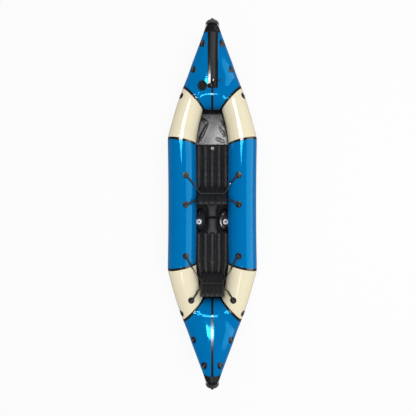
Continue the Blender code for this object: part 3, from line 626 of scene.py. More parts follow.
class Socket:
    """A node's output. Arithmetic on it adds Math nodes to its material."""

    def __init__(self, finish, output):
        self.finish = finish
        self.output = output

    def maths(self, operation, *values):
        return self.finish.node("Math", dict(enumerate(values)), operation=operation)

    def __add__(self, other):
        return self.maths("ADD", self, other)

    def __radd__(self, other):
        return self.maths("ADD", other, self)

    def __sub__(self, other):
        return self.maths("SUBTRACT", self, other)

    def __rsub__(self, other):
        return self.maths("SUBTRACT", other, self)

    def __mul__(self, other):
        return self.maths("MULTIPLY", self, other)

    def __rmul__(self, other):
        return self.maths("MULTIPLY", other, self)

    def __abs__(self):
        return self.maths("ABSOLUTE", self)

    def sin(self):
        return self.maths("SINE", self)

    def above(self, low, high):
        """0 below low, 1 above high, with a smooth step between."""
        inputs = {"Value": self, "From Min": low, "From Max": high}
        return self.finish.node("MapRange", inputs, interpolation_type="SMOOTHSTEP")


class Finish:
    """A material, and the record's slot that its pieces take."""

    def __init__(self, name, slot):
        self.slot = slot
        self.material = bpy.data.materials.new(name)
        self.material.use_nodes = True
        self.tree = self.material.node_tree
        self.shader = self.tree.nodes["Principled BSDF"]

    def node(self, kind, inputs=None, output=0, **settings):
        """Any node: its settings, then the values or links of its sockets."""
        made = self.tree.nodes.new("ShaderNode" + kind)
        for name, value in settings.items():
            setattr(made, name, value)
        for name, value in (inputs or {}).items():
            self.feed(made.inputs[name], value)
        return Socket(self, made.outputs[output])

    def feed(self, socket, value):
        if isinstance(value, Socket):
            self.tree.links.new(value.output, socket)
        else:
            socket.default_value = value

    def shade(self, **values):
        """Sets the shader's sockets: base_color feeds Base Color, and so on."""
        for name, value in values.items():
            if isinstance(value, tuple):
                value = (*value, 1.0)
            self.feed(self.shader.inputs[name.replace("_", " ").title().replace("Ior", "IOR")], value)
        return self

    def place(self):
        """The place on the object as x, y and z, in metres."""
        return self.split(self.node("TexCoord", output="Object"))

    def cloth(self):
        """The piece's own pattern coordinates."""
        return self.split(self.node("Attribute", output="Vector", attribute_name="cloth"))

    def split(self, vector):
        parts = self.node("SeparateXYZ", {0: vector}).output.node.outputs
        return [Socket(self, part) for part in parts]

    def noise(self, size, detail=2.0, seed=0.0):
        """Noise from 0 to 1 whose blotches are about size metres across."""
        place = self.node("TexCoord", output="Object")
        moved = self.node("Mapping", {"Vector": place, "Location": (seed, seed, seed)})
        return self.node("TexNoise", {"Vector": moved, "Scale": 1 / size, "Detail": detail})

    def colours(self, factor, first, second):
        """A mix of two colours, or of one colour and a link."""
        first, second = (c if isinstance(c, Socket) else (*c, 1.0) for c in (first, second))
        return self.node("Mix", {0: factor, 6: first, 7: second}, output=2, data_type="RGBA")

    def relief(self, height):
        """A bump whose height is in metres."""
        return self.node("Bump", {"Height": height, "Distance": 1.0})


# Sizes of the materials' details, in metres
BLOTCH = 0.16
CRINKLE = 0.045
SPECK = 0.004
WEAVE_PITCH = 0.0011
TWILL_PITCH = 0.0032
RIB_PITCH = 0.0014
TWILL_HEIGHT = 0.00012
RIB_HEIGHT = 0.00005
FUZZ_HEIGHT = 0.00010
STRAP_FUZZ = 0.0015
CORD_FUZZ = 0.002
STRANDS = 6
STRAND_PITCH = 0.007
STRAND_HEIGHT = 0.0002
PIT = 0.0012
PIT_HEIGHT = 0.00004
SCUFF = 0.009


def grain(x, y, z):
    """A fine basket weave on any side of a surface: products of sines."""
    step = FULL_TURN / WEAVE_PITCH
    waves = [(axis * step).sin() for axis in (x, y, z)]
    return waves[0] * waves[1] + waves[1] * waves[2] + waves[2] * waves[0]


def coated_fabric(name, slot, colour, deep, roughness, crinkle=0.00003, weave=0.000001, coat=0.0, **gloss):
    """Woven nylon under a smooth coating: faint weave, soft crinkles and an uneven gloss. crinkle and
    weave are heights, deep colours its darker blotches, and gloss sets more of the shader's sockets.
    """
    finish = Finish(name, slot)
    blotches = finish.noise(BLOTCH, 3.0)
    crinkles = finish.noise(CRINKLE, 3.0, seed=3.0)
    specks = finish.noise(SPECK, seed=7.0)
    tint = (blotches * 0.7 + specks * 0.3).above(0.3, 0.7)
    weave_height = grain(*finish.place()) * weave
    return finish.shade(
        base_color=finish.colours(tint, deep, colour),
        roughness=roughness + (crinkles - 0.5) * 0.06 + (specks - 0.5) * 0.06,
        normal=finish.relief(crinkles * crinkle + specks * (weave * 2) + weave_height),
        coat_weight=coat,
        coat_roughness=0.12,
        **gloss,
    )


def webbing(name, slot, colour, deep):
    """Woven strap: ribs across it with a chevron twill, from pattern places across and along."""
    finish = Finish(name, slot)
    across, along, _ = finish.cloth()
    twill = ((along + abs(across)) * (FULL_TURN / TWILL_PITCH)).sin()
    ribs = (along * (FULL_TURN / RIB_PITCH)).sin()
    fuzz = finish.noise(STRAP_FUZZ)
    height = twill * TWILL_HEIGHT + ribs * RIB_HEIGHT + fuzz * FUZZ_HEIGHT
    return finish.shade(
        base_color=finish.colours((twill * 0.5 + 0.5) * 0.6 + fuzz * 0.4, deep, colour),
        roughness=0.62 + fuzz * 0.25,
        normal=finish.relief(height),
        sheen_weight=0.25,
        sheen_roughness=0.5,
    )


def braided(name, slot, colour, deep):
    """Braided cord: two sets of strands winding opposite ways, from (cos, sin) round it and along it."""
    finish = Finish(name, slot)
    cos, sin, along = finish.cloth()
    angle = sin.maths("ARCTAN2", sin, cos)
    run = along * (FULL_TURN / STRAND_PITCH * STRANDS / 2)
    weave = (run + angle * STRANDS).sin() * (run - angle * STRANDS).sin()
    fuzz = finish.noise(CORD_FUZZ)
    return finish.shade(
        base_color=finish.colours((weave * 0.5 + 0.5) * 0.7 + fuzz * 0.3, deep, colour),
        roughness=0.55 + fuzz * 0.25,
        normal=finish.relief(weave * STRAND_HEIGHT + fuzz * 0.00008),
    )


def moulded(name, slot, colour, deep, roughness, coat=0.0, metallic=0.0):
    """Moulded plastic or plated metal: a fine pitting, and scuffs that dull it here and there."""
    finish = Finish(name, slot)
    pits = finish.noise(PIT)
    scuffs = finish.noise(SCUFF, 4.0, seed=5.0).above(0.5, 0.75)
    return finish.shade(
        base_color=finish.colours(scuffs * 0.5 + pits * 0.3, colour, deep),
        roughness=roughness + scuffs * 0.12 + (pits - 0.5) * 0.08,
        metallic=metallic,
        coat_weight=coat,
        normal=finish.relief(pits * PIT_HEIGHT),
    )


def plated(name, colour, deep, roughness, metallic=1.0):
    return moulded(name, "plated_metal", colour, deep, roughness, metallic=metallic)


BLUE = coated_fabric(
    "blue coated fabric", "blue_coated_fabric",
    (0.0, 0.165, 0.45), (0.0, 0.156, 0.43), 0.07, crinkle=0.000015,
    specular_tint=(0.05, 0.65, 1.0),
)
CREAM = coated_fabric(
    "cream coated fabric", "cream_coated_fabric",
    (0.86, 0.785, 0.575), (0.83, 0.75, 0.54), 0.13,
)
TAPE = coated_fabric(
    "welded black tape", "black_coated_fabric",
    (0.012, 0.013, 0.015), (0.008, 0.008, 0.009), 0.12, crinkle=0.00004,
)
FLOOR = coated_fabric(
    "black floor fabric", "black_coated_fabric",
    (0.020, 0.021, 0.023), (0.014, 0.014, 0.016), 0.25, crinkle=0.0006,
)
MAT = coated_fabric(
    "black mat fabric", "black_coated_fabric",
    (0.024, 0.0235, 0.025), (0.018, 0.0175, 0.019), 0.45, crinkle=0.0003, weave=0.00001,
    specular_ior_level=0.4,
)
LOBE = coated_fabric(
    "glossy black lobe fabric", "black_coated_fabric",
    (0.020, 0.020, 0.022), (0.014, 0.014, 0.016), 0.22, crinkle=0.0008, coat=0.5,
)
PATCH = coated_fabric(
    "black patch fabric", "black_coated_fabric",
    (0.010, 0.010, 0.011), (0.007, 0.007, 0.008), 0.34, crinkle=0.0002, weave=0.00001,
    specular_ior_level=0.35,
)
# A grey band along the zip's middle. Its lighter grey is partly the band's own colour and partly a painted reflection
# of the lamps, which are kept off it.
ZIP_BAND = coated_fabric(
    "grey zip band", "black_coated_fabric",
    (0.031, 0.034, 0.037), (0.025, 0.027, 0.030), 0.42, crinkle=0.0001, coat=0.1,
)
WEBBING = webbing("black woven webbing", "black_webbing", (0.030, 0.030, 0.033), (0.008, 0.008, 0.009))
LOOP_WEBBING = webbing("grey-black loop webbing", "black_webbing", (0.075, 0.075, 0.078), (0.02, 0.02, 0.022))
BRAID = braided("black braided cord", "black_webbing", (0.022, 0.022, 0.024), (0.008, 0.008, 0.009))
BLACK_PLASTIC = moulded(
    "black moulded plastic", "black_plastic", (0.010, 0.010, 0.011), (0.018, 0.018, 0.019), 0.32
)
GREY_PLASTIC = moulded("grey moulded plastic", "grey_plastic", (0.12, 0.13, 0.14), (0.07, 0.075, 0.08), 0.35)
BLUE_GREY = moulded("blue-grey button", "grey_plastic", (0.20, 0.24, 0.29), (0.12, 0.14, 0.17), 0.35)
WHITE_PLASTIC = moulded(
    "white moulded plastic", "white_plastic", (0.93, 0.94, 0.95), (0.85, 0.86, 0.87), 0.30, coat=0.2
)
TEETH = moulded("grey zip teeth", "grey_plastic", (0.060, 0.063, 0.068), (0.036, 0.038, 0.041), 0.35)
TEETH_CORE = moulded("dark zip core", "grey_plastic", (0.03, 0.031, 0.034), (0.02, 0.02, 0.022), 0.5)
BRASS = plated("brassy zip pull", (0.13, 0.12, 0.075), (0.07, 0.065, 0.04), 0.36)
STEEL = plated("bright plated metal", (0.72, 0.72, 0.73), (0.45, 0.45, 0.46), 0.22)
DARK_METAL = plated("dark plated slider", (0.09, 0.088, 0.085), (0.05, 0.048, 0.046), 0.30)
SILVER = plated("dull silver", (0.30, 0.30, 0.31), (0.20, 0.20, 0.21), 0.25, metallic=0.0)


# Camera, as high over the boat as the photograph's

CAMERA_HEIGHT = 3.345
SENSOR = 36.0
LENS = 27.17
SHIFT = (-0.0103, -0.0099)


def add_camera():
    camera = bpy.data.cameras.new("camera")
    camera.sensor_width = SENSOR
    camera.lens = LENS
    camera.shift_x, camera.shift_y = SHIFT
    camera.clip_start = 0.05
    holder = linked("camera", camera)
    holder.location = (0.0, 0.0, CAMERA_HEIGHT)
    bpy.context.scene.camera = holder


add_camera()


# Places on the hull's surfaces

def axes_place(side_way, forward, normal, point):
    """A place with the given local X, Y and Z axes."""
    made = Matrix((side_way, forward, normal)).transposed().to_4x4()
    made.translation = Vector(point)
    return made


def place_on(surface, u, turn):
    """A place with local Z along the surface's outward normal and local Y near the bow's way, and how
    fast the surface's point moves by u and by turn.
    """
    step = 1e-4
    by_u = surface(u + step, turn) - surface(u - step, turn)
    by_turn = surface(u, turn + step) - surface(u, turn - step)
    normal = Vector(np.cross(by_u, by_turn)).normalized()
    if normal.z < 0:
        normal = -normal
    side_way = Vector((0.0, 1.0, 0.0)).cross(normal).normalized()
    made = axes_place(side_way, normal.cross(side_way), normal, surface(u, turn))
    return made, by_u / (2 * step), by_turn / (2 * step)


def locate(surface, x, y, u_range):
    """The u and turn of the deck point over plan point (x, y), by searching ever smaller squares."""
    u_low, u_high = u_range
    turn_low, turn_high = 0.0, math.pi
    for _ in range(12):
        us = np.linspace(u_low, u_high, 21)
        turns = np.linspace(turn_low, turn_high, 21)
        points = grid(surface, us, turns)
        off = np.hypot(points[..., 0] - x, points[..., 1] - y)
        i, j = np.unravel_index(np.argmin(off), off.shape)
        u_half, turn_half = (u_high - u_low) / 5, (turn_high - turn_low) / 5
        u_low, u_high = max(u_range[0], us[i] - u_half), min(u_range[1], us[i] + u_half)
        turn_low, turn_high = max(0.0, turns[j] - turn_half), min(math.pi, turns[j] + turn_half)
    return us[i], turns[j]


# Lacing cords: each runs from its left patch over or behind a backrest to its right patch

# Plan places of the right-hand patches
LACING_PATCHES = {
    "front_upper": (0.257, 0.281),
    "front_lower": (0.257, -0.005),
    "rear_upper": (0.257, -0.510),
    "rear_lower": (0.205, -0.949),
}
BACK_THICKNESS = 0.044
BACK_HEIGHT = 0.300
BACK_LEAN = math.radians(35)
BACK_HINGE_Z = 0.066
# Each backrest's hinge along the boat, and its width
BACKS = {"front": (0.170, 0.290), "rear": (-0.724, 0.240)}
CORD_RADIUS = 0.0045
LACING_START = 0.0130
LACING_OFF_TUBE = 0.006
LACING_LEAVE_TURN = 143
LACING_UP_BACK = 0.160
LACING_ON_TUBE = (0.4, 0.75, 1.0)
LACING_BY_BACK = ((0.42, 0.013), (0.22, 0.004), (0.0, 0.003))
LACING_SPACING = 0.005
# How far each cord steers along the boat before it leaves the tube, and if it runs before the back (1)
# or behind it (-1)
LACING = {
    "front_upper": (-0.080, 1),
    "front_lower": (0.040, -1),
    "rear_upper": (-0.150, 1),
    "rear_lower": (0.040, -1),
}
CORD_SIDES = 12
BLEND_START_X = 0.20
BLEND_END_X = 0.125
DOUBLE_SHARE = 0.36
# What ends the doubling, a knot or a fastener: its finish, length and radius
KNOT = (BRAID, 0.014, 0.0085)
FASTENERS = {
    ("front_upper", 1): (STEEL, 0.024, 0.0095),
    ("front_upper", -1): (BLACK_PLASTIC, 0.020, 0.0095),
    ("rear_lower", 1): (BLACK_PLASTIC, 0.026, 0.0105),
}


def back_place(y):
    """A backrest's place: local Y runs up the back from its hinge, and local Z faces the bow."""
    up = Vector((0.0, -math.sin(BACK_LEAN), math.cos(BACK_LEAN)))
    side_way = Vector((-1.0, 0.0, 0.0))
    return axes_place(side_way, up, side_way.cross(up), (0.0, y, BACK_HINGE_Z))


def lacing_tube(side, y):
    if y < -MID_HALF_LENGTH:
        return quarter_tube(side, -1), (0, 1)
    return mid_tube(side), (-1, 1)


def lacing_route(name):
    """Points of a lacing cord, from its left patch by way of the backrest to its right patch."""
    x, y = LACING_PATCHES[name]
    steer, face = LACING[name]
    back_y, back_width = BACKS[name.split("_")[0]]
    surface, u_range = lacing_tube(1, y)
    u, turn = locate(surface, x, y, u_range)
    u_per_metre = 1 / MID_HALF_LENGTH if y > -MID_HALF_LENGTH else -1 / (MITRE_MIDDLE[1] - MID_HALF_LENGTH)
    leave_turn = math.radians(LACING_LEAVE_TURN)
    half = [surface(u, turn, LACING_START)]
    for part in LACING_ON_TUBE:
        place = (u + steer * part * u_per_metre, mix(turn, leave_turn, part))
        half.append(surface(*place, CORD_RADIUS + LACING_OFF_TUBE))
    depth = BACK_THICKNESS / 2 + CORD_RADIUS
    place = back_place(back_y)
    for across, off in LACING_BY_BACK:
        half.append(np.array(place @ Vector((-across * back_width, LACING_UP_BACK, face * (depth + off)))))
    return [point * [-1, 1, 1] for point in half] + half[-2::-1]


def cord_shape(path):
    """A round cord along a path, with the pattern places (cos, sin, along) that its braid reads."""
    path = np.asarray(path, float)
    shape = swept(path, circle(CORD_RADIUS, CORD_SIDES))
    cloth = stacked(*circle(1.0, CORD_SIDES).T, run_along(path)[:, None])
    return shape, cloth.reshape(-1, 3)


def tied(piece, side, end):
    """Lets a piece of the lacing bend between the hull and the backrest it is tied over."""
    start, stop = (side * BLEND_START_X, 0.0, 0.0), (side * BLEND_END_X, 0.0, 0.0)
    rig.blend(piece, "hull", f"{end}_back", start=start, end=stop)


def add_cord(name, path, side, end, stands_for=()):
    shape, cloth = cord_shape(path)
    piece = add_piece(name, shape, BRAID, body=None, stands_for=stands_for, cloth=cloth)
    tied(piece, side, end)
    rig.cord(
        piece, exit=path[0], length=float(run_along(path)[-1]), diameter=2 * CORD_RADIUS, far_end="object",
        stiffness="limp", lay="taut", path=path,
    )


def doubled_shift(path):
    """Half of the way from a cord to the strand beside it."""
    side_way, _ = tube_frames(path)
    return side_way * (CORD_RADIUS + GAP / 2)


def doubled(path):
    """The strand that comes back beside a cord's first part, one cord's width to its side."""
    return (path + 2 * doubled_shift(path))[: round(len(path) * DOUBLE_SHARE)]


def barrel(path, at_x, length, radius):
    """A round-ended barrel round a cord where it passes |x| = at_x."""
    middle = int(np.argmin(np.abs(np.abs(path[:, 0]) - at_x)))
    way = path[middle + 1] - path[middle - 1]
    t = np.linspace(-1, 1, 11)
    line = path[middle] + way / np.linalg.norm(way) * (length / 2 * t)[:, None]
    return swept(line, circle(radius, 20), scale=(1 - np.abs(t) ** 6 * 0.6))


def lacing_cords():
    """Each cord is made as two halves, doubled near its patches, with a knot where the doubling ends."""
    for name in LACING:
        whole = smooth_through(lacing_route(name), LACING_SPACING)
        middle = len(whole) // 2
        end = name.split("_")[0]
        halves = (whole[: middle + 1], whole[middle:][::-1])
        for (side, side_name), path in zip(SIDES, halves):
            stands_for = (f"lacing_cord_{name}",) if side < 0 else ()
            add_cord(f"lacing_{name}_{side_name}", path, side, end, stands_for)
            second = doubled(path)
            add_cord(f"lacing_second_{name}_{side_name}", second, side, end)
            finish, length, radius = FASTENERS.get((name, side), KNOT)
            shape = barrel(path + doubled_shift(path), abs(second[-1][0]), length, radius)
            cloth = np.asarray(shape[0]) / radius
            knot = add_piece(f"lacing_knot_{name}_{side_name}", shape, finish, body=None, cloth=cloth)
            tied(knot, side, end)


lacing_cords()


# The hull's skins, drawn in and wrinkled at their seams

PINCH = 0.0020
PINCH_WIDTH = 0.022
WRINKLE = 0.0003
WRINKLE_REACH = 0.018
MID_TAPE_U = TAPE_HALF_WIDTH / MID_HALF_LENGTH
SEAM_TAPE_U = TAPE_HALF_WIDTH / QUARTER_LENGTH
MITRE_SQUARE = math.cos(MITRE_LEAN - QUARTER_LEAN)
MITRE_TAPE_U = TAPE_HALF_WIDTH / (QUARTER_LENGTH * MITRE_SQUARE)
CONE_TAPE_U = 1 - MITRE_SHIFT_OUT / MITRE_OUT[0]
CONE_STRIP_U = TAPE_HALF_WIDTH / MITRE_OUT[0]
TURNS = angles_round(ROUND)


def puckered(surface, *distances):
    """A surface drawn in by PINCH exp(-(s / PINCH_WIDTH)^2) at each distance s from a seam, and with
    wrinkles (1 - sin(23 turn + 1.5 sin 5 turn)) / 2 across the seam that fade as exp(-s / WRINKLE_REACH).
    """

    def drawn_in(u, turn, grow=0.0):
        u, turn = np.broadcast_arrays(np.asarray(u, float), np.asarray(turn, float))
        wave = (1 - np.sin(23 * turn + 1.5 * np.sin(5 * turn))) / 2
        for distance in distances:
            s = distance(u)
            grow = grow - PINCH * bump(s, PINCH_WIDTH) - WRINKLE * wave * np.exp(-s / WRINKLE_REACH)
        return surface(u, turn, grow)

    return drawn_in


def mid_skin(side):
    return puckered(mid_tube(side), lambda u: (1 - np.abs(u)) * MID_HALF_LENGTH)


def quarter_skin(side, end):
    return puckered(
        quarter_tube(side, end),
        lambda u: u * QUARTER_LENGTH,
        lambda u: (1 - u) * QUARTER_LENGTH * MITRE_SQUARE,
    )


def cone_skin(end):
    return puckered(end_cone(end), lambda u: (1 - np.abs(u)) * TAPE_HALF_WIDTH / (1 - CONE_TAPE_U))


def spread(start, end, length):
    """Evenly spaced rows over a length in metres."""
    return np.linspace(start, end, max(2, round(length / ROW_SPACING)) + 1)


def add_skin(name, surface, us, finish, hole=None):
    """An inflated tube's skin, open where its neighbours carry on. hole is a place and a radius left out."""
    outer, inner = (grid(surface, us, TURNS, grow) for grow in (0.0, -WALL))
    keep = None
    if hole is not None:
        centre, radius = hole
        cells = (outer[1:] + outer[:-1]) / 2
        cells = (cells + np.roll(cells, -1, axis=1)) / 2
        keep = np.linalg.norm(cells - np.array(centre), axis=-1) > radius
    add_piece(f"skin_{name}", wall(outer, inner, around=True, keep=keep), finish, stands_for=(name,))


VALVE_X = -0.0953
VALVE_Y = 1.161
VALVE_HOLE_RADIUS = 0.038
VALVE_PLACE, _, _ = place_on(end_cone(1), *locate(end_cone(1), VALVE_X, VALVE_Y, (-1, 0)))


def hull_skins():
    quarter_gap = GAP / QUARTER_LENGTH
    mid_gap = GAP / MID_HALF_LENGTH
    mid_us = spread(mid_gap - 1, 1 - mid_gap, 2 * MID_HALF_LENGTH)
    quarter_us = spread(quarter_gap, 1 - quarter_gap, QUARTER_LENGTH)
    for side, side_name in SIDES:
        add_skin(f"mid_tube_{side_name}", mid_skin(side), mid_us, BLUE)
        for end, end_name in ENDS:
            add_skin(f"{end_name}_quarter_{side_name}", quarter_skin(side, end), quarter_us, CREAM)
    outline_length = 2 * math.dist(MITRE_OUT, (0, NOSE_Y))
    cone_us = spread(2 * GAP - 1, 1 - 2 * GAP, outline_length)
    add_skin("stern_cone", cone_skin(-1), cone_us, BLUE)
    add_skin("bow_cone", cone_skin(1), cone_us, BLUE, hole=(VALVE_PLACE.translation, VALVE_HOLE_RADIUS))


def tube_tapes():
    """Welded bands over the seams between tubes, each row grown by its height, thin at the edges."""
    tops = TAPE_LIFT + TAPE_EDGE + TAPE_HEIGHTS * (TAPE_TOP - TAPE_LIFT - TAPE_EDGE)
    for side, side_name in SIDES:
        for end, end_name in ENDS:
            mid_us = end * (1 - TAPE_SPREAD * MID_TAPE_U * np.append(TAPE_STEPS, 0.0))
            quarter_us = TAPE_SPREAD * SEAM_TAPE_U * TAPE_STEPS[::-1]
            rows = [(mid_skin(side), u) for u in mid_us] + [(quarter_skin(side, end), u) for u in quarter_us]
            walls = []
            for heights in (tops, np.full(len(rows), TAPE_LIFT)):
                rings = [surface(u, TURNS, height) for (surface, u), height in zip(rows, heights)]
                walls.append(np.array(rings))
            name = f"seam_tape_{end_name}_{side_name}"
            add_piece(f"welded_{name}", wall(*walls, around=True), TAPE, stands_for=(name,))


def cone_tapes():
    """One tape on each end: over both mitre seams, along the cockpit's edge and down the deck's middle."""
    strip_u = TAPE_SPREAD * CONE_STRIP_U
    edge_u = TAPE_SPREAD * (1 - CONE_TAPE_U)
    edge_steps = np.append(TAPE_STEPS[1:], 0.0)
    middle_us = np.linspace(strip_u, 1 - edge_u, 56)[1:]
    cone_side = np.concatenate((strip_u * STRIP_STEPS, middle_us, 1 - edge_u * edge_steps))
    cone_us = np.concatenate((-cone_side[:0:-1], cone_side))
    quarter_us = 1 - TAPE_SPREAD * MITRE_TAPE_U * TAPE_STEPS[::-1]
    cockpit = ROUND // 2
    for end, name in CONES:
        walls = []
        for lift in (TAPE_TOP, TAPE_LIFT):
            left = grid(quarter_skin(-1, end), quarter_us[::-1], TURNS, lift)
            right = grid(quarter_skin(1, end), quarter_us, TURNS, lift)
            walls.append(np.concatenate((left, grid(cone_skin(end), cone_us, TURNS, lift), right)))
        rows = len(walls[0]) - 1
        keep = np.zeros((rows, ROUND), bool)
        band = len(quarter_us) + len(edge_steps)
        keep[:band] = True
        keep[-band:] = True
        keep[:, cockpit : cockpit + COCKPIT_CELLS] = True
        middle, beside = rows // 2, len(STRIP_STEPS) - 1
        keep[middle - beside : middle + beside, STRIP_START[name] : cockpit] = True
        shape = wall(*walls, around=True, keep=keep)
        add_piece(f"welded_seam_tape_{name}", shape, TAPE, stands_for=(f"seam_tape_{name}",))


hull_skins()
tube_tapes()
cone_tapes()


# The floor sheet: flat between the tubes' lowest lines and wrapped up round their outsides

FLOOR_THICKNESS = 0.0015
FLOOR_WRAP = math.radians(45)
FLOOR_SLANT = 0.010
FLOOR_CUT_LENGTH = 3.2
CREASE_HEIGHT = 0.0055
CREASE_MIDDLE = (0.0, 0.770)
CREASE_REACH = (0.165, 0.185)
CREASE_HOLD = 4
CREASE_BEND = 0.008
CREASE_BEND_TURN = 2.6
CREASE_FADE = 0.3
SWELL_SHARE = 0.0625
# Creases: where each starts and ends on the floor, its half width and its share of the height
CREASES = (
    ((-0.036, 0.880), (-0.158, 0.660), 0.010, 1.00),
    ((-0.062, 0.800), (-0.166, 0.640), 0.007, 0.80),
    ((-0.118, 0.905), (-0.060, 0.850), 0.011, 0.80),
    ((0.088, 0.890), (0.116, 0.800), 0.006, 0.45),
    ((0.098, 0.790), (0.126, 0.700), 0.006, 0.60),
    ((0.075, 0.830), (0.100, 0.740), 0.007, 0.35),
    ((0.020, 0.700), (0.140, 0.640), 0.012, 0.40),
)


def crease_height(x, y):
    """Height of the floor's creases: bells across bent folds that fade at the folds' ends, on a slight
    swell 1 + sin(31 x + 2) sin(19 y + 1).
    """
    height = np.zeros(np.broadcast(x, y).shape)
    for (start_x, start_y), (end_x, end_y), half_width, share in CREASES:
        way = np.array([end_x - start_x, end_y - start_y])
        length = np.linalg.norm(way)
        way = way / length
        along = ((x - start_x) * way[0] + (y - start_y) * way[1]) / length
        across = (x - start_x) * way[1] - (y - start_y) * way[0]
        bend = CREASE_BEND * np.sin(along * CREASE_BEND_TURN)
        inside = smooth(along / CREASE_FADE) * smooth((1 - along) / CREASE_FADE)
        height = np.maximum(height, share * inside * bump(across + bend, half_width))
    swell = SWELL_SHARE * (1 + np.sin(31 * x + 2) * np.sin(19 * y + 1))
    held = 1.0
    for value, middle, reach in zip((x, y), CREASE_MIDDLE, CREASE_REACH):
        held = held * smooth((1 - np.abs(value - middle) / reach) * CREASE_HOLD)
    return CREASE_HEIGHT * held * (height + swell)


def floor_sheet():
    """Rows from the stern to the bow: each follows the right tube's outside down to its lowest point,
    runs flat to the centre line, and is mirrored.
    """
    wrap = np.linspace(3 * HALF_PI, 3 * HALF_PI + FLOOR_WRAP, 14)
    cone_us = np.concatenate((np.linspace(0, 0.2, 14), np.linspace(0.2, 1.0, 30)[1:]))
    quarter_us = spread(SEAM_TAPE_U, 1 - MITRE_TAPE_U, QUARTER_LENGTH)
    mid_us = spread(-1, 1, 2 * MID_HALF_LENGTH)
    stations = [(end_cone(-1), u, FLOOR_SLANT * u) for u in cone_us]
    stations += [(quarter_tube(1, -1), u, 0.0) for u in quarter_us[::-1]]
    stations += [(mid_tube(1), u, 0.0) for u in mid_us]
    stations += [(quarter_tube(1, 1), u, 0.0) for u in quarter_us]
    stations += [(end_cone(1), u, -FLOOR_SLANT * u) for u in cone_us[::-1]]
    inwards = np.linspace(1, 0, 36)[1:, None]
    walls = []
    for grow, level in ((HULL_BOTTOM, 0.0), (HULL_BOTTOM - FLOOR_THICKNESS, FLOOR_THICKNESS)):
        rows = []
        for surface, u, shift in stations:
            right = surface(np.full(len(wrap), u), wrap, grow)
            lowest = right[0]
            level_z = level if lowest[0] > 0 else lowest[2]
            shifted = np.array([0.0, lowest[1] + shift, level_z])
            half = np.concatenate((right[::-1], shifted + inwards * (lowest - shifted) * [1, 1, 0]))
            rows.append(np.concatenate((half, half[-2::-1] * [-1, 1, 1])))
        rows = np.array(rows)
        rows[..., 2] += crease_height(rows[..., 0], rows[..., 1])
        walls.append(rows)
    outer = walls[0]
    width = np.linalg.norm(np.diff(outer, axis=1), axis=2).sum(axis=1)
    cells = np.cross(np.diff(outer, axis=0)[:, :-1], np.diff(outer, axis=1)[:-1])
    piece = add_piece("floor_tray", wall(*walls), FLOOR, stands_for=("floor_sheet",))
    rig.sheet(
        piece, flat=(float(width.max()), FLOOR_CUT_LENGTH), held="stretched", rests_on=["skin_mid_tube_left"],
        area=float(np.linalg.norm(cells, axis=2).sum()),
    )


floor_sheet()


# Inflatable floor mats and backrests: rows of lengthwise chambers

MAT_PITCH = 0.0717
CHAMBERS = 5
MAT_BOTTOM = 0.004
MAT_HEIGHT = 0.056
MAT_WIDTH = CHAMBERS * MAT_PITCH
MAT_GROOVE = 0.024
BACK_GROOVE = 0.008
FRONT_MAT_Y = (-0.022, 0.626)
REAR_MAT_Y = (-0.985, -0.294)
REAR_TAPER = 0.6
REAR_TAPER_LENGTH = 0.385
END_ROUND = 0.034
MAT_SCALLOP = 0.014
BACK_SCALLOP = 0.006
BASE_TURN = 0.10
ROW_EVENNESS = 0.6
END_THICKNESS = 0.14
CHAMBER_COLUMNS = 14
PAD_ROW = 0.0065
WELD_CROWN = 0.30
WELD_EDGE = 0.985
WELD_END = END_THICKNESS + 0.12


def pad_rings(half_width, length, height, groove, scallop, flat_base, widths=None):
    """Rings of a chambered pad along local Y. Across it, each chamber's top is lower + rise sqrt(1 - q^2)
    for q from -1 to 1 over the chamber. Towards the ends the pad thins as a quarter circle, and the
    welds between chambers end scallop before the chambers do.

    Returns the rings and how firmly each point is welded, 1 on the weld lines and 0 between.
    """
    s = np.linspace(-1, 1, CHAMBERS * CHAMBER_COLUMNS + 1)
    phase = (s + 1) / 2 * CHAMBERS
    q = (phase - np.clip(np.floor(phase), 0, CHAMBERS - 1)) * 2 - 1
    crown = np.sqrt(np.clip(1 - q**2, 0, None))
    outer_half = np.abs(s) > 1 - 1 / CHAMBERS
    lower = np.where(outer_half, 0.0, height / 2 - groove)
    top = lower + (height / 2 - lower) * crown
    if flat_base:
        turn_in = np.clip((np.abs(s) - (1 - BASE_TURN)) / BASE_TURN, 0, 1)
        base = -height / 2 * np.sqrt(1 - turn_in**2)
    else:
        base = -top
    rows = max(8, round(length / PAD_ROW))
    y = length * (1 - np.cos(np.linspace(0, math.pi, rows))) / 2
    y = mix(y, np.linspace(0, length, rows), ROW_EVENNESS)
    ends = np.minimum(y, length - y)[:, None] - scallop * (1 - crown)[None, :]
    thin = np.sqrt(1 - (1 - np.clip(ends / END_ROUND, 0, 1)) ** 2)
    thin = END_THICKNESS + (1 - END_THICKNESS) * thin
    wide = half_width * (np.ones(rows) if widths is None else widths(y))
    x = wide[:, None] * s[None, :]
    upper = stacked(x, y[:, None], top * thin)
    under = stacked(x, y[:, None], base * thin)
    rings = np.concatenate((upper, under[:, -2:0:-1]), axis=1)
    weld = np.maximum(crown < WELD_CROWN, np.abs(s) > WELD_EDGE).astype(float)
    firm_top = np.maximum(weld[None, :], thin < WELD_END)
    firm_base = np.ones_like(firm_top) if flat_base else firm_top
    return rings, np.concatenate((firm_top, firm_base[:, -2:0:-1]), axis=1)


def rear_widths(y):
    return mix(REAR_TAPER, 1.0, np.clip(y / REAR_TAPER_LENGTH, 0, 1))


PUFF = 0.006
PUFF_FRAMES = 18
PUFF_PRESSURE = 5.0
PUFF_SLACK = -0.012


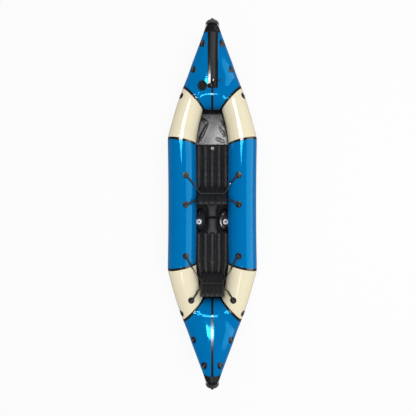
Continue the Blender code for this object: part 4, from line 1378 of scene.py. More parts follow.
def inflated(piece, firm):
    """Blows a pad up by cloth simulation: held at its welds, with a little spare cloth that wrinkles.
    No point moves further than PUFF.
    """
    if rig.quick():
        return
    group = piece.vertex_groups.new(name="welds")
    for number in np.flatnonzero(firm > 0.5).tolist():
        group.add([number], 1.0, "REPLACE")
    before = np.empty(len(piece.data.vertices) * 3)
    piece.data.vertices.foreach_get("co", before)
    cloth = piece.modifiers.new("air", "CLOTH")
    settings = cloth.settings
    settings.quality = 5
    settings.mass = 0.15
    settings.tension_stiffness = settings.compression_stiffness = 20
    settings.shear_stiffness = 8
    settings.bending_stiffness = 0.08
    settings.use_pressure = True
    settings.uniform_pressure_force = PUFF_PRESSURE
    settings.vertex_group_mass = "welds"
    settings.shrink_min = PUFF_SLACK
    settings.effector_weights.gravity = 0
    settings.air_damping = 4
    cloth.point_cache.frame_end = PUFF_FRAMES
    scene = bpy.context.scene
    for number in range(1, PUFF_FRAMES + 1):
        scene.frame_set(number)
    blown = piece.evaluated_get(bpy.context.evaluated_depsgraph_get()).data
    after = np.empty_like(before)
    blown.vertices.foreach_get("co", after)
    moved = (after - before).reshape(-1, 3)
    size = np.linalg.norm(moved, axis=1, keepdims=True)
    moved *= np.minimum(1.0, PUFF / np.maximum(size, 1e-9))
    piece.modifiers.remove(cloth)
    piece.data.vertices.foreach_set("co", before + moved.ravel())
    piece.data.update()
    scene.frame_set(1)


def add_pad(name, rings, firm, body, node, place):
    piece = add_piece(name, placed(lofted(rings), place), MAT, body=body, stands_for=(node,), sharp=180)
    inflated(piece, firm.ravel())
    finer = piece.modifiers.new("finer", "SUBSURF")
    finer.levels = finer.render_levels = 1
    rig.padded(piece, fill=0.85)


def mats_and_backs():
    middle_z = MAT_BOTTOM + MAT_HEIGHT / 2
    for name, (low, high), widths in (("front", FRONT_MAT_Y, None), ("rear", REAR_MAT_Y, rear_widths)):
        sizes = (MAT_WIDTH / 2, high - low, MAT_HEIGHT, MAT_GROOVE, MAT_SCALLOP)
        rings, firm = pad_rings(*sizes, flat_base=True, widths=widths)
        place = Matrix.Translation((0, low, middle_z))
        add_pad(f"mat_{name}", rings, firm, "hull", f"floor_mat_{name}", place)
    for name, (y, width) in BACKS.items():
        sizes = (width / 2, BACK_HEIGHT, BACK_THICKNESS, BACK_GROOVE, BACK_SCALLOP)
        rings, firm = pad_rings(*sizes, flat_base=False)
        add_pad(f"back_{name}", rings, firm, f"{name}_back", f"backrest_{name}", back_place(y))


mats_and_backs()


# Each mat's tongue to the boat's middle, and the lobe beside it that holds its valve

TONGUE_HALF_WIDTH = 0.055
TONGUE_MEET_Y = -0.142
TONGUE_GAP = 0.001
TONGUE_UNDER_MAT = 0.03
TONGUE_HEIGHT = 0.040
TONGUE_EDGE = 0.12
TONGUE_END = 0.35
TONGUE_END_LENGTH = 0.020
FLARE = 0.55
FLARE_LIMIT = 1.5
FLARE_LENGTH = 0.055
LOBE_X = 0.128
LOBE_Y = -0.170
LOBE_HALF_WIDTH = 0.066
LOBE_HALF_LENGTH = 0.118
LOBE_HEIGHT = 0.046
# The dome's rings as shares of its width, and the radius and height of each corner of its welded rim
DOME = np.array([0.02, 0.15, 0.3, 0.45, 0.58, 0.70, 0.80, 0.87, 0.92, 0.955, 0.975, 0.985])
RIM = ((1.0, 0.006), (1.03, 0.004), (1.03, 0.0), (0.9, 0.0))
MAT_VALVE_X = 0.139
MAT_VALVE_Y = -0.187
MAT_VALVE_RADIUS = 0.028
MAT_BUTTON_RADIUS = 0.011


def tongue(name, rows, root):
    """A crowned ribbon, height (1 - a^4)^0.5 for a from -1 to 1 across it, wider towards its root."""
    across = np.linspace(-1, 1, 33)
    crown = np.clip(1 - np.abs(across) ** 4, 0, None) ** 0.5
    flare = np.minimum(1 + FLARE * bump(rows - root, FLARE_LENGTH), FLARE_LIMIT)
    off_end = np.clip(np.abs(rows - TONGUE_MEET_Y) / TONGUE_END_LENGTH, 0, 1)
    fall = TONGUE_END + (1 - TONGUE_END) * np.sqrt(1 - (1 - off_end) ** 2)
    x = TONGUE_HALF_WIDTH * flare[:, None] * across[None, :]
    z = TONGUE_HEIGHT * fall[:, None] * (TONGUE_EDGE + (1 - TONGUE_EDGE) * crown[None, :])
    top = stacked(x, rows[:, None], MAT_BOTTOM + z)
    base = stacked(x, rows[:, None], MAT_BOTTOM)
    add_piece(f"mat_tongue_{name}", wall(top, base), MAT, sharp=70)


def lobe(name, side):
    """A low dome over an ellipse, height (1 - r^4.5)^0.55, with a welded rim."""
    height = LOBE_HEIGHT * (1 - DOME**4.5) ** 0.55
    profile = np.concatenate((stacked(DOME, height), RIM))
    place = Matrix.Translation((side * LOBE_X, LOBE_Y, MAT_BOTTOM))
    stretch = Matrix.Diagonal((LOBE_HALF_WIDTH, LOBE_HALF_LENGTH, 1.0, 1.0))
    add_piece(f"mat_lobe_{name}", placed(turned(profile, 72), place @ stretch), LOBE, sharp=60)


def tongues_and_lobes():
    front_root = FRONT_MAT_Y[0] + TONGUE_UNDER_MAT
    rear_root = REAR_MAT_Y[1] - TONGUE_UNDER_MAT
    tongue("front", np.linspace(TONGUE_MEET_Y + TONGUE_GAP, front_root, 26), front_root)
    lobe("front", -1)
    tongue("rear", np.linspace(rear_root, TONGUE_MEET_Y - TONGUE_GAP, 26), rear_root)
    lobe("rear", 1)


tongues_and_lobes()


# Strips, teeth and fittings on the bow's deck

ZIP_X = 0.006
ZIP_START_Y = 1.157
ZIP_END_Y = 1.655
ZIP_FLANGE_WIDTH = 0.100
ZIP_FLANGE_THICKNESS = 0.0012
ZIP_LIFT = 0.0014
ZIP_BAND_WIDTH = 0.046
CHAIN_LIFT = ZIP_LIFT + ZIP_FLANGE_THICKNESS + GAP
TOOTH_PITCH = 0.0034
SLIDER_SIZE = (0.036, 0.052)
SLIDER_Y = 1.190
STOP_SIZE = (0.046, 0.020)
STOP_Y = 1.145
PULL_HINGE = (0.004, 0.014, 0.0185)
PULL_LENGTH = 0.095
PULL_RADIUS = 0.003
PULL_WAIST = 0.72 * PULL_RADIUS
PULL_NECK = 0.8 * PULL_RADIUS
KNOB_RADIUS = 0.0055
KNOB_HALF_LENGTH = 0.006
AXIS_RADIUS = 0.0004
STRIP_POINTS = 25
# Slabs: the heights of a slab's rings, then how far each ring is drawn in
STOP_SLAB = ((0.0, 0.0062, 0.0075), (0.0, 0.0, 0.0014))
STOP_BAR = ((0.006, 0.0092, 0.010), (0.0, 0.0, 0.0009))
STOP_BAR_SHARE = (0.62, 0.42)
TOOTH_CORNERS = ((-0.0058, -0.0012), (0.0012, -0.0013), (0.0012, 0.0013), (-0.0058, 0.0012))
TOOTH_ROUNDING = 0.0006
TOOTH_SLAB = ((0.0002, 0.0025, 0.0031), (0.0, 0.0, 0.0005))
PLATE_SLAB = ((0.0050, 0.0085, 0.0098), (0.0, 0.0, 0.0014))
RAIL_SLAB = ((0.0, 0.0052), (0.0, 0.0))
RAIL_X = 0.0085
GARAGE_SLAB = ((0.0, 0.0040, 0.0056), (0.0, 0.0, 0.0016))
GARAGE_OFFSET = (0.0255, 0.012)
RIVET = ((AXIS_RADIUS, 0.0), (0.0085, 0.0), (0.0085, 0.0010), (0.0060, 0.0024), (AXIS_RADIUS, 0.0030))
RIVET_PLACE = (0.003, 0.019, 0.0098)


def on_deck(x, y, height, end=1):
    """Points held at a height over the cone's deck, measured along its normal."""
    step = 1e-4
    slope_x = (deck_z(x + step, y) - deck_z(x - step, y)) / (2 * step)
    slope_y = (deck_z(x, y + step) - deck_z(x, y - step)) / (2 * step)
    size = np.sqrt(1 + slope_x**2 + slope_y**2)
    z = deck_z(x, y) + height / size
    return stacked(x - height * slope_x / size, end * (y - height * slope_y / size), z)


def deck_place(x, y, height):
    """A place over the bow's deck with local X across the boat, Y up the ridge and Z off the deck."""
    forward = Vector((0.0, 1.0, RIDGE_SLOPE)).normalized()
    side_way = Vector((1.0, 0.0, 0.0))
    return axes_place(side_way, forward, side_way.cross(forward), on_deck(x, y, height))


def deck_strip(name, edges_at, ys, lift, thickness, finish, end=1, stands_for=()):
    """A strip on a cone's deck between the edges that edges_at gives for each y. Its edges are thinned
    as 1 - |a|^12 across it.
    """
    a = np.linspace(-1, 1, STRIP_POINTS)
    a = np.sign(a) * np.abs(a) ** 0.7
    edges = np.array([edges_at(y) for y in ys])
    x = mix(edges[:, :1], edges[:, 1:], (a[None, :] + 1) / 2)
    y = np.broadcast_to(np.asarray(ys)[:, None], x.shape)
    top = lift + thickness * (0.25 + 0.75 * (1 - np.abs(a) ** 12))
    shape = wall(on_deck(x, y, top[None, :], end), on_deck(x, y, lift, end))
    cloth = np.concatenate([stacked(x, y, 0.0).reshape(-1, 3)] * 2)
    return add_piece(name, shape, finish, stands_for=stands_for, cloth=cloth)


def on_zip(points):
    """Carries (across, along the boat, height) points over the zip's line on the deck."""
    points = np.asarray(points, float)
    return on_deck(ZIP_X + points[:, 0], points[:, 1], points[:, 2])


def zip_teeth():
    """Teeth from either side that pass between each other, on a low core."""
    tooth = rounded(TOOTH_CORNERS, TOOTH_ROUNDING, 3)
    teeth = []
    count = int((ZIP_END_Y - ZIP_START_Y - 0.008) / TOOTH_PITCH * 2)
    for number in range(count):
        y = ZIP_START_Y + 0.004 + number * TOOTH_PITCH / 2
        side = 1 if number % 2 else -1
        points, faces = slab(tooth * [side, 1], *TOOTH_SLAB)
        teeth.append((on_zip(points + [0, y, CHAIN_LIFT]), faces))
    add_piece("zip_teeth", merged(*teeth), TEETH, stands_for=("zipper_chain",), sharp=50)
    core = rectangle(-0.0045, 0.0, 0.0045, 0.0012)
    ys = np.linspace(ZIP_START_Y + 0.002, ZIP_END_Y - 0.004, 60)
    rings = [on_zip([(x, y, CHAIN_LIFT + height) for x, height in core]) for y in ys]
    add_piece("zip_core", lofted(rings), TEETH_CORE)


def zip_edges(width):
    """The edges of a strip of the given width on the zip's line, for any y."""
    return lambda y: (ZIP_X - width / 2, ZIP_X + width / 2)


def zip_flange():
    ys = np.linspace(ZIP_START_Y, ZIP_END_Y, 70)
    thickness = ZIP_FLANGE_THICKNESS - 0.0002
    edges = zip_edges(ZIP_FLANGE_WIDTH)
    deck_strip("zip_flange", edges, ys, ZIP_LIFT, thickness, TAPE, stands_for=("zipper_flange",))
    # The grey band over the zip's middle: its lighter grey is partly painted reflection
    band_lift = ZIP_LIFT + ZIP_FLANGE_THICKNESS - 0.0001
    deck_strip("zip_band", zip_edges(ZIP_BAND_WIDTH), ys[1:-1], band_lift, 0.0003, ZIP_BAND)


def zip_stop():
    """The block that ends the zip: a rounded slab with a raised bar across it."""
    width, depth = STOP_SIZE
    outline = rounded(rectangle(-width / 2, -depth / 2, width / 2, depth / 2), 0.006)
    shape = merged(slab(outline, *STOP_SLAB), slab(outline * STOP_BAR_SHARE, *STOP_BAR))
    place = deck_place(ZIP_X, STOP_Y, ZIP_LIFT)
    add_piece("zip_end_stop", placed(shape, place), BLACK_PLASTIC, stands_for=("zipper_stop",))


def slider_body():
    """Two side rails under a waisted top plate, with an arched bridge that holds the pull's pin."""
    half, end = SLIDER_SIZE[0] / 2, SLIDER_SIZE[1] / 2
    waisted = [(half, -end), (half, -0.010), (half - 0.005, 0.004), (half - 0.002, end)]
    plate = rounded([(-half, -end), *waisted, *((-x, y) for x, y in waisted[:0:-1])], 0.007)
    rail = rounded([(RAIL_X, -end), *waisted, (RAIL_X, end)], 0.003)
    arch = np.linspace(-1, 1, 15)
    x, y, _ = PULL_HINGE
    rise = 0.0095 + 0.0050 * np.sqrt(np.clip(1 - arch**2, 0, None))
    path = stacked(x - 0.004, y + 0.013 * arch, rise)
    bridge = swept(path, rounded(rectangle(-0.006, -0.0012, 0.006, 0.0012), 0.001, 3), up=(1.0, 0.0, 0.0))
    rails = [slab(rail * [side, 1], *RAIL_SLAB) for side, _ in SIDES]
    return merged(slab(plate, *PLATE_SLAB), *rails, bridge)


def pull_profile():
    """A thin bar with a thicker shoulder near its pin and a round knob near its end."""
    radius, middle = PULL_RADIUS, PULL_LENGTH - 0.0075
    bar = [(AXIS_RADIUS, 0.0), (PULL_NECK, 0.0006), (radius, 0.002), (radius, 0.010), (PULL_WAIST, 0.013),
           (PULL_WAIST, PULL_LENGTH * 0.45), (radius, PULL_LENGTH * 0.52), (radius, middle - 0.007)]
    t = np.linspace(0, math.pi, 9)
    knob = (PULL_NECK + (KNOB_RADIUS - PULL_NECK) * np.sin(t), middle - KNOB_HALF_LENGTH * np.cos(t))
    return [*bar, *stacked(*knob), (AXIS_RADIUS, PULL_LENGTH)]


def zip_slider():
    place = deck_place(ZIP_X, SLIDER_Y, CHAIN_LIFT)
    body = placed(slider_body(), place)
    add_piece("zip_slider_body", body, DARK_METAL, "slider", ("zipper_slider",))
    hinge = place @ Matrix.Translation(PULL_HINGE) @ Matrix.Rotation(HALF_PI, 4, "Y")
    add_turned("zip_pull_bar", pull_profile(), hinge, BRASS, "pull", "zipper_pull", 28)
    add_turned("zip_slider_rivet", RIVET, place @ Matrix.Translation(RIVET_PLACE), STEEL, "slider", steps=24)


def zip_garage():
    """A dark metal block on either side of the zip's lower end."""
    block = rounded([(0.0, -0.024), (0.022, -0.019), (0.024, 0.020), (0.0, 0.024)], 0.006)
    across, along = GARAGE_OFFSET
    blocks = []
    for side, _ in SIDES:
        points, faces = slab(block * [side, 1], *GARAGE_SLAB)
        offset = np.array([side * across, STOP_Y + along, ZIP_LIFT + ZIP_FLANGE_THICKNESS])
        blocks.append((on_zip(points + offset), faces))
    add_piece("zip_garage", merged(*blocks), DARK_METAL)


zip_flange()
zip_teeth()
zip_stop()
zip_slider()
zip_garage()


# The main valve: a flanged collar, the sprung plunger in its bore, and a cap on a hinged strap

VALVE_FLANGE_RADIUS = 0.0475
VALVE_FLANGE_HEIGHT = 0.004
VALVE_COLLAR_RADIUS = 0.032
VALVE_BORE_RADIUS = 0.024
VALVE_BARREL_RADIUS = 0.028
VALVE_BARREL_DEPTH = 0.018
VALVE_COLLAR_HEIGHT = 0.012
THREAD_PITCH = 0.0007
THREAD_DEPTH = 0.0006
STEM_RADIUS = 0.008
CAP_LOW = VALVE_FLANGE_HEIGHT + 2 * GAP
CAP_HEIGHT = 0.016
CAP_RIBS = 40
RIB_DEPTH = 0.0005
TETHER_WIDTH = 0.012
TETHER_WAIST = 0.25
TETHER_THICKNESS = 0.0024
TETHER_CUT = 0.0006
TETHER_REACH = 0.062
ANCHOR_GAP = 0.0045
ANCHOR_REACH = 0.022
ANCHOR_HALF_WIDTH = 0.008
ANCHOR_SLAB = ((CAP_LOW - 0.0012, CAP_LOW + 0.0016, CAP_LOW + 0.0024), (0.0, 0.0, 0.0010))


def collar_profile():
    """A barrel through the skin, a flange that lies on it, and a threaded collar."""
    bore, barrel = VALVE_BORE_RADIUS, VALVE_BARREL_RADIUS
    collar, rim = VALVE_COLLAR_RADIUS, VALVE_FLANGE_RADIUS
    lift, flange, top = 2 * GAP, VALVE_FLANGE_HEIGHT, VALVE_COLLAR_HEIGHT
    inside = [(bore, -VALVE_BARREL_DEPTH), (bore, top - 0.001), (bore + 0.001, top), (collar - 0.001, top)]
    thread = [(collar - THREAD_DEPTH * (n % 2), top - 0.0018 - n * THREAD_PITCH) for n in range(8)]
    edge = [(collar, flange + 0.0006), (collar + 0.0015, flange), (rim - 0.004, flange),
            (rim - 0.001, flange - 0.0008), (rim, flange - 0.002), (rim, lift)]
    return [*inside, (collar, top - 0.001), *thread, *edge, (barrel, lift), (barrel, -VALVE_BARREL_DEPTH)]


def plunger_profile():
    """A disc in the bore with a low stem on it."""
    disc, stem = VALVE_BORE_RADIUS - 2 * GAP, STEM_RADIUS
    return [(0.0005, 0.0025), (stem, 0.002), (disc - 0.001, 0.0038), (disc, 0.0045), (disc, 0.0065),
            (disc - 0.001, 0.0072), (stem + 0.004, 0.0070), (stem + 0.001, 0.0075), (stem, 0.0088),
            (0.0005, 0.009)]


def cap_rings():
    """A dished cap over the collar. Its side is ribbed: the radius falls by RIB_DEPTH (1 - w), where w is
    1.6 sin(CAP_RIBS t) held between -1 and 1.
    """
    inside, outside, top = VALVE_COLLAR_RADIUS + 0.001, VALVE_FLANGE_RADIUS - 0.001, CAP_HEIGHT
    ceiling = VALVE_COLLAR_HEIGHT + 2 * GAP
    under = [(0.0005, ceiling), (inside, ceiling), (inside, CAP_LOW), (outside - 0.0008, CAP_LOW)]
    side = [(outside, CAP_LOW + 0.001), (outside, top - 0.005), (outside - 0.0012, top - 0.0025)]
    lip = [(outside - 0.003, top - 0.0008), (outside - 0.006, top), (outside - 0.010, top - 0.0004),
           (outside - 0.013, top - 0.0018)]
    dish = [(0.020, top - 0.0024), (0.014, top - 0.0020), (0.008, top - 0.0010), (0.0005, top - 0.0008)]
    radius, height = np.array([*under, *side, *lip, *dish]).T[..., None]
    ribbed = (radius > outside - 0.0015) & (height > CAP_LOW) & (height < top - 0.002)
    angles = angles_round(CAP_RIBS * 6)
    ribs = np.clip(np.sin(CAP_RIBS * angles) * 1.6, -1, 1)
    radius = radius - RIB_DEPTH * ribbed * (1 - ribs)
    return stacked(radius * np.cos(angles), radius * np.sin(angles), height)


def tether_rings():
    """A strap from the cap's rim, narrow in its middle, with its top edges cut back."""
    t = np.linspace(0, 1, 9)
    reach = mix(VALVE_FLANGE_RADIUS, TETHER_REACH, t)
    half = TETHER_WIDTH / 2 * (1 - TETHER_WAIST * np.sin(math.pi * t))
    low, high, cut = CAP_LOW, CAP_LOW + TETHER_THICKNESS, TETHER_CUT
    return [[(x, -y, low), (x, y, low), (x, y - cut, high), (x, cut - y, high)] for x, y in zip(reach, half)]


def main_valve():
    place = VALVE_PLACE
    add_turned("valve_collar", collar_profile(), place, BLACK_PLASTIC, "hull", "valve_base", 96, closed=True)
    add_turned("valve_disc", plunger_profile(), place, GREY_PLASTIC, "plunger", "valve_plunger", 64)
    cap = placed(lofted(cap_rings()), place)
    add_piece("valve_lid_cap", cap, BLACK_PLASTIC, "valve_lid", ("valve_cap",))
    strap = placed(lofted(tether_rings()), place)
    add_piece("valve_lid_strap", strap, BLACK_PLASTIC, "valve_lid", ("valve_cap_strap",))
    edges = (TETHER_REACH + ANCHOR_GAP, -ANCHOR_HALF_WIDTH, TETHER_REACH + ANCHOR_REACH, ANCHOR_HALF_WIDTH)
    anchor = slab(rounded(rectangle(*edges), 0.005), *ANCHOR_SLAB)
    add_piece("valve_strap_anchor", placed(anchor, place), BLACK_PLASTIC)


main_valve()


# Round patches with a sewn webbing loop, nose patches and grab loops

PATCH_RADIUS = 0.0325
PATCH_EDGE = 0.0012
PATCH_CROWN = 0.0042
PATCH_RINGS = np.array([0.02, 0.15, 0.3, 0.45, 0.6, 0.72, 0.82, 0.9, 0.955, 0.985, 1.0])
TUBE_PATCH_LIFT = 0.0006
CONE_PATCH_LIFT = 0.0020
# A patch's loop: its size, its way across and along the boat, and the share of it that stands up
PATCH_LOOP_WIDTH = 0.012
PATCH_LOOP_THICKNESS = 0.0014
PATCH_LOOP_REACH = 0.021
PATCH_LOOP_RISE = 0.0052
PATCH_LOOP_WAY = (0.55, 0.83)
PATCH_LOOP_OPEN = 0.62
END_PATCHES = {
    1: ((0.0943, 1.560), (0.1865, 1.329), (0.3110, 1.081)),
    -1: ((0.0774, 1.568), (0.1840, 1.345), (0.3076, 1.097)),
}
NOSE_PATCH_Y = (1.656, 1.785)
NOSE_LIFT = 0.0024
NOSE_THICKNESS = 0.0011
NOSE_SHARE = 0.90
NOSE_NARROWING = 0.48
NARROWING_START_Y = 1.712
NARROWING_LENGTH = 0.022
GRAB_Y = 1.740
GRAB_Z = 0.285
GRAB_HALF_SPAN = 0.0640
GRAB_RISE = 0.084
GRAB_WIDTH = 0.024
GRAB_THICKNESS = 0.003
GRAB_BASE_SHARE = 0.97
GRAB_BASE_LIFT = NOSE_LIFT + 0.0014
GRAB_BASE_THICKNESS = 0.0016


def strap_shape(path, width, thickness, up):
    """A flat strap along a path with soft edges, and its pattern places (across, along, 0)."""
    half, rise = width / 2, thickness / 2
    outline = rounded(rectangle(-half, -rise, half, rise), thickness * 0.45, 3)
    extra = np.linspace(-half + thickness, half - thickness, 7)
    lower = [(x, -rise) for x in extra]
    upper = [(x, rise) for x in extra[::-1]]
    outline = np.array([*outline[1:3], *lower, *outline[3:9], *upper, *outline[9:], outline[0]])
    shape = swept(path, outline, up)
    cloth = stacked(outline[:, 0], run_along(path)[:, None], 0.0)
    return shape, cloth.reshape(-1, 3)


def patch_height(r):
    """Height of a patch's crown at r, its distance from the middle as a share: (1 - r^2)^0.8."""
    return (PATCH_CROWN - PATCH_EDGE) * (1 - r**2) ** 0.8


def bonded_patch(name, surface, x, y, u_range, lift, node):
    """A disc that follows the tube, with a soft edge, and a webbing loop sewn across it."""
    u, turn = locate(surface, x, y, u_range)
    place, by_u, by_turn = place_on(surface, u, turn)
    side_way, forward, normal = (np.array(place.col[i][:3]) for i in range(3))
    slopes = np.array([[by_u @ side_way, by_turn @ side_way], [by_u @ forward, by_turn @ forward]])

    def base_at(flat):
        steps = flat @ np.linalg.inv(slopes).T
        return surface(u + steps[..., 0], turn + steps[..., 1])

    base = base_at(PATCH_RINGS[:, None, None] * circle(PATCH_RADIUS, 44))
    heights = PATCH_EDGE * smooth((1 - PATCH_RINGS) * 25 + 0.35) + patch_height(PATCH_RINGS)
    shape = wall(base + normal * (lift + heights[:, None, None]), base + normal * lift, around=True)
    add_piece(f"patch_{name}", shape, PATCH, stands_for=(node,))
    t = np.linspace(-1, 1, 21)
    across, along = PATCH_LOOP_WAY
    line = PATCH_LOOP_REACH * t[:, None] * [-across if x > 0 else across, along]
    hump = PATCH_LOOP_RISE * np.clip(1 - (t / PATCH_LOOP_OPEN) ** 2, 0, None) ** 0.7
    under = PATCH_EDGE + patch_height(t * PATCH_LOOP_REACH / PATCH_RADIUS)
    path = base_at(line) + normal * (lift + under + 0.0008 + hump)[:, None]
    loop, cloth = strap_shape(path, PATCH_LOOP_WIDTH, PATCH_LOOP_THICKNESS, tuple(normal))
    add_piece(f"patch_loop_{name}", loop, LOOP_WEBBING, cloth=cloth)


def patches():
    for end, end_name in CONES:
        for i, (x, y) in enumerate(END_PATCHES[end], 1):
            for side, side_name in SIDES:
                name = f"{end_name}_{side_name}_{i}"
                if i < 3:
                    half, surface, lift = ((-1, 0) if side < 0 else (0, 1)), end_cone(end), CONE_PATCH_LIFT
                else:
                    half, surface, lift = (0, 1), quarter_tube(side, end), TUBE_PATCH_LIFT
                bonded_patch(name, surface, side * x, end * y, half, lift, f"tie_down_{name}")
    for name, (x, y) in LACING_PATCHES.items():
        for side, side_name in SIDES:
            surface, u_range = lacing_tube(side, y)
            node = f"lacing_patch_{name}_{side_name}"
            bonded_patch(f"{name}_{side_name}", surface, side * x, y, u_range, TUBE_PATCH_LIFT, node)


def nose_edges(share, narrowing):
    """The edges, for any y, of a strip that covers a share of the nose and narrows towards its tip."""

    def edges_at(y):
        outline = wedge_half_width(y) * math.sqrt(1 - float(nose_part(y)) ** 2)
        part = float(smooth((y - NARROWING_START_Y) / NARROWING_LENGTH))
        half = outline * (share - narrowing * part)
        return -half, half

    return edges_at


def noses():
    """Nose patches, and webbing grab loops: half ellipses over the noses, sewn down at both ends."""
    cover_ys = np.linspace(*NOSE_PATCH_Y, 42)
    base_ys = np.linspace(GRAB_Y - GRAB_WIDTH / 2, GRAB_Y + GRAB_WIDTH / 2, 7)
    cover_edges = nose_edges(NOSE_SHARE, NOSE_NARROWING)
    base_edges = nose_edges(GRAB_BASE_SHARE, 0.0)
    angles = np.linspace(0, math.pi, 49)
    for end, name in CONES:
        nodes = (f"nose_patch_{name}",)
        deck_strip(f"nose_cover_{name}", cover_edges, cover_ys, NOSE_LIFT, NOSE_THICKNESS, PATCH, end, nodes)
        sizes = (base_ys, GRAB_BASE_LIFT, GRAB_BASE_THICKNESS)
        deck_strip(f"grab_base_{name}", base_edges, *sizes, WEBBING, end)
        across, rise = GRAB_HALF_SPAN * np.cos(angles), GRAB_RISE * np.sin(angles)
        path = stacked(across, end * GRAB_Y, GRAB_Z + rise)
        band, cloth = strap_shape(path, GRAB_WIDTH, GRAB_THICKNESS, (0.0, 0.0, 1.0))
        add_piece(f"grab_band_{name}", band, WEBBING, f"{name}_handle", (f"grab_loop_{name}",), cloth=cloth)


patches()
noses()


# Mat valves: a black base, a white ring and its button; a small silver valve on the front mat

RING_BORE = MAT_BUTTON_RADIUS + 0.0006
RING_RIM = MAT_VALVE_RADIUS
VALVE_RING = (
    (RING_BORE, 0.0006), (RING_RIM, 0.0006), (RING_RIM, 0.0042), (RING_RIM - 0.0010, 0.0054),
    (RING_RIM - 0.0028, 0.0060), (RING_RIM - 0.0048, 0.0086), (RING_RIM - 0.0062, 0.0095),
    (RING_BORE + 0.0022, 0.0095), (RING_BORE + 0.0008, 0.0088), (RING_BORE, 0.0078),
)
VALVE_PRESS = (
    (0.0005, 0.005), (MAT_BUTTON_RADIUS, 0.005), (MAT_BUTTON_RADIUS, 0.0088),
    (MAT_BUTTON_RADIUS - 0.0012, 0.0098), (0.0055, 0.0104), (0.0005, 0.0105),
)
VALVE_BASE = (
    (RING_RIM - 0.002, 0.0), (0.044, -0.0012), (0.046, -0.0006), (0.0445, 0.0012), (0.040, 0.0016),
    (RING_RIM + 0.0006, 0.0004), (RING_RIM - 0.002, 0.0004),
)
SILVER_VALVE = (
    (0.0005, -0.003), (0.0180, -0.003), (0.0180, 0.0006), (0.0165, 0.0014), (0.0110, 0.0018),
    (0.0100, 0.0052), (0.0075, 0.0064), (0.0035, 0.0070), (0.0005, 0.0066),
)
SILVER_VALVE_PLACE = (0.003, 0.5786, MAT_BOTTOM + MAT_HEIGHT)
EYELET = ((0.003, 0.0), (0.010, 0.0), (0.010, 0.0012), (0.007, 0.0024), (0.003, 0.0016))
EYELET_PLACE = (0.003, 0.932, 0.0035)


def mat_valves():
    for name, side in (("front", -1), ("rear", 1)):
        place = Matrix.Translation((side * MAT_VALVE_X, MAT_VALVE_Y, MAT_BOTTOM + LOBE_HEIGHT + GAP))
        ring, press, base = (f"mat_valve_{kind}_{name}" for kind in ("ring", "press", "base"))
        add_turned(ring, VALVE_RING, place, WHITE_PLASTIC, "hull", f"mat_valve_{name}", 64, closed=True)
        add_turned(press, VALVE_PRESS, place, BLUE_GREY, f"mat_button_{name}", f"mat_valve_button_{name}")
        add_turned(base, VALVE_BASE, place, BLACK_PLASTIC, steps=64, closed=True)
    add_turned("mat_silver_valve", SILVER_VALVE, Matrix.Translation(SILVER_VALVE_PLACE), SILVER)
    add_turned("floor_eyelet", EYELET, Matrix.Translation(EYELET_PLACE), GREY_PLASTIC, steps=32, closed=True)


mat_valves()


# Lights, and a pale floor that the camera sees as near white

# Radiance of the gloss lamps, which only make highlights, and of the fill lamps, which have none
KEY = 24.0
REAR_KEY = 4.0
WINDOW = 40.0
BAR = 22.0
FLOOR_KEY = 32.0
LOBE_KEY = 14.0
PADS_KEY = 5.0
SIDE_WALL = 3.4
RING_FILL = 0.8
FILL_TOP = 0.75
FILL_RIGHT = 0.9
FLOOR_SHADE = 0.88
FLOOR_ALBEDO = 0.8
FLOOR_Z = -0.0005
FLOOR_HALF = 6.0
WORLD_STRENGTH = 0.62
WORLD_GLOSS = 0.12
LAMP_Z = 3.07
WALL_Z = 2.9
BOW_GLOSSY = ("skin_bow_cone", "welded_seam_tape_bow", "zip_flange", "zip_slider_rivet")
BOW_DECK = (
    *BOW_GLOSSY[:3], "zip_band", "zip_teeth", "zip_core", "zip_end_stop", "zip_slider_body", "zip_pull_bar",
    "zip_garage", "valve_lid_cap", "valve_lid_strap", "valve_strap_anchor", "valve_collar", "nose_cover_bow",
)
STERN_DECK = ("skin_stern_cone", "welded_seam_tape_stern", "nose_cover_stern")
PADS = ("mat_front", "mat_rear", "back_front", "back_rear", "mat_tongue_front", "mat_tongue_rear")
RINGS = ("mat_valve_ring_front", "mat_valve_ring_rear")
CREAM_SKINS = tuple(f"skin_{end}_quarter_{side}" for _, end in ENDS for _, side in SIDES)
# Lamps kept to a few pieces: those pieces, then each lamp's size, place over the boat and radiance
GLOSS_LAMPS = {
    "bow": (BOW_GLOSSY, ((0.72, 0.15), (-0.45, 1.565), WINDOW), ((1.75, 0.5), (-0.52, 0.11), BAR)),
    "stern": (STERN_DECK, ((0.85, 0.185), (-0.23, -1.626), WINDOW), ((1.3, 0.6), (-0.25, -0.90), BAR)),
    "pads": (PADS, ((0.75, 3.2), (0.0, -0.35), PADS_KEY)),
    "floor": (("floor_tray",), ((0.55, 0.45), (0.17, 1.30), FLOOR_KEY)),
}


def add_panel(name, size, place, radiance, turn=0.0, aim=None):
    """A soft rectangular lamp of a given radiance, turned from its place towards aim, or straight down."""
    lamp = bpy.data.lights.new(name, "AREA")
    lamp.shape = "RECTANGLE"
    lamp.size, lamp.size_y = size
    lamp.energy = math.pi * size[0] * size[1] * radiance
    holder = linked(name, lamp)
    place = Vector(place)
    way = Vector(aim) - place if aim else Vector((0.0, 0.0, -1.0))
    facing = way.to_track_quat("-Z", "Y").to_matrix().to_4x4()
    holder.matrix_world = Matrix.Translation(place) @ facing @ Matrix.Rotation(turn, 4, "Z")
    holder.visible_camera = False
    return holder


def lights_pieces(holder, pieces, state="INCLUDE"):
    """Keeps a lamp to some pieces, or off them."""
    receivers = bpy.data.collections.new(f"{holder.name} pieces")
    holder.light_linking.receiver_collection = receivers
    for name in pieces:
        receivers.objects.link(bpy.data.objects[name])
    for link in receivers.collection_objects:
        link.light_linking.link_state = state


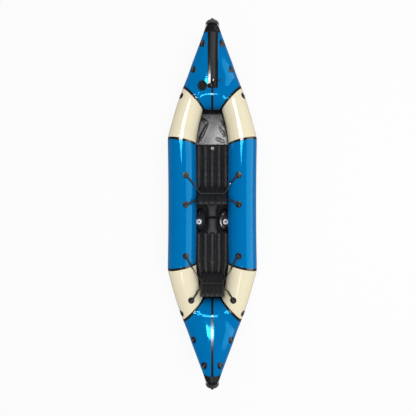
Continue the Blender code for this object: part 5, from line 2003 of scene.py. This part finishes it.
def add_lights():
    keys = [
        add_panel("key corner", (1.09, 1.09), (-0.42, 1.50, LAMP_Z), KEY, math.radians(45)),
        add_panel("key", (0.95, 0.8), (-0.42, 2.02, LAMP_Z), KEY),
        add_panel("rear key", (0.7, 0.5), (-0.45, -1.75, LAMP_Z), REAR_KEY),
    ]
    for lamp in keys:
        lights_pieces(lamp, (*BOW_DECK, *STERN_DECK, *PADS, "floor_tray", "mat_lobe_front"), "EXCLUDE")
    side_wall = add_panel("side wall", (6.0, 5.2), (3.2, 0, WALL_Z), SIDE_WALL, aim=(0, 0, WALL_Z))
    lights_pieces(side_wall, (*CREAM_SKINS, *PADS, "mat_lobe_front"), "EXCLUDE")
    glossy = [*keys, side_wall]
    for name, (pieces, *lamps) in GLOSS_LAMPS.items():
        for number, (size, place, radiance) in enumerate(lamps):
            glossy.append(add_panel(f"{name} gloss {number}", size, (*place, LAMP_Z), radiance))
            lights_pieces(glossy[-1], pieces)
    lobe_gloss = add_panel("lobe gloss", (1.0, 1.6), (-1.6, -0.9, 2.0), LOBE_KEY, aim=(LOBE_X, LOBE_Y, 0.05))
    lights_pieces(lobe_gloss, ("mat_lobe_rear",))
    glossy.append(lobe_gloss)
    for lamp in glossy:
        lamp.visible_diffuse = False
    fills = [
        add_panel("top fill", (7.0, 8.0), (0, 0, 5.0), FILL_TOP),
        add_panel("right fill", (5.0, 4.0), (3.5, 0, 3.5), FILL_RIGHT, aim=(0, 0, 0.1)),
        add_panel("valve ring fill", (3.0, 3.0), (0, 0, 4.0), RING_FILL),
    ]
    lights_pieces(fills[-1], RINGS)
    for lamp in fills:
        lamp.visible_glossy = False


def add_world():
    """A dome that is near white for the camera, bright for soft light and dim for gloss."""
    world = bpy.data.worlds.new("studio")
    world.use_nodes = True
    tree = world.node_tree
    rays = tree.nodes.new("ShaderNodeLightPath")
    strength = WORLD_STRENGTH
    for kind, share in (("Camera", FLOOR_SHADE), ("Glossy", WORLD_GLOSS), ("Transmission", WORLD_GLOSS)):
        change = tree.nodes.new("ShaderNodeMath")
        change.operation = "MULTIPLY_ADD"
        change.inputs[1].default_value = share - WORLD_STRENGTH
        tree.links.new(rays.outputs[f"Is {kind} Ray"], change.inputs[0])
        if isinstance(strength, float):
            change.inputs[2].default_value = strength
        else:
            tree.links.new(strength, change.inputs[2])
        strength = change.outputs[0]
    tree.links.new(strength, tree.nodes["Background"].inputs["Strength"])
    tree.nodes["Background"].inputs["Color"].default_value = (1.0, 1.0, 1.0, 1.0)
    bpy.context.scene.world = world


def add_floor():
    """A floor that shines evenly for the camera, and is dull for light and dim for gloss."""
    finish = Finish("pale studio floor", "")
    rays = finish.node("LightPath").output.node.outputs
    kinds = ("Camera", "Glossy", "Transmission")
    camera, glossy, through = (Socket(finish, rays[f"Is {kind} Ray"]) for kind in kinds)
    seen = camera * FLOOR_SHADE + (glossy + through) * WORLD_GLOSS
    albedo = FLOOR_ALBEDO - (glossy + through) * (FLOOR_ALBEDO - WORLD_GLOSS)
    diffuse = finish.node("BsdfDiffuse", {"Color": albedo})
    glow = finish.node("Emission", {"Color": (1.0, 1.0, 1.0, 1.0), "Strength": 1.0})
    mixed = finish.node("MixShader", {0: seen, 1: diffuse, 2: glow})
    output = finish.tree.nodes["Material Output"]
    finish.feed(output.inputs["Surface"], mixed)
    edges = rectangle(-FLOOR_HALF, -FLOOR_HALF, FLOOR_HALF, FLOOR_HALF)
    corners = [(x, y, FLOOR_Z) for x, y in edges]
    mesh = bpy.data.meshes.new("floor")
    mesh.from_pydata(corners, [], [(0, 1, 2, 3)])
    mesh.materials.append(finish.material)
    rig.stage(linked("floor", mesh))


add_lights()
add_world()
add_floor()
bpy.context.scene.view_settings.view_transform = "Standard"

with open("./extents.json", "w") as file:
    json.dump([[list(corner) for corner in box] for box in (frame_box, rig.bounds())], file)
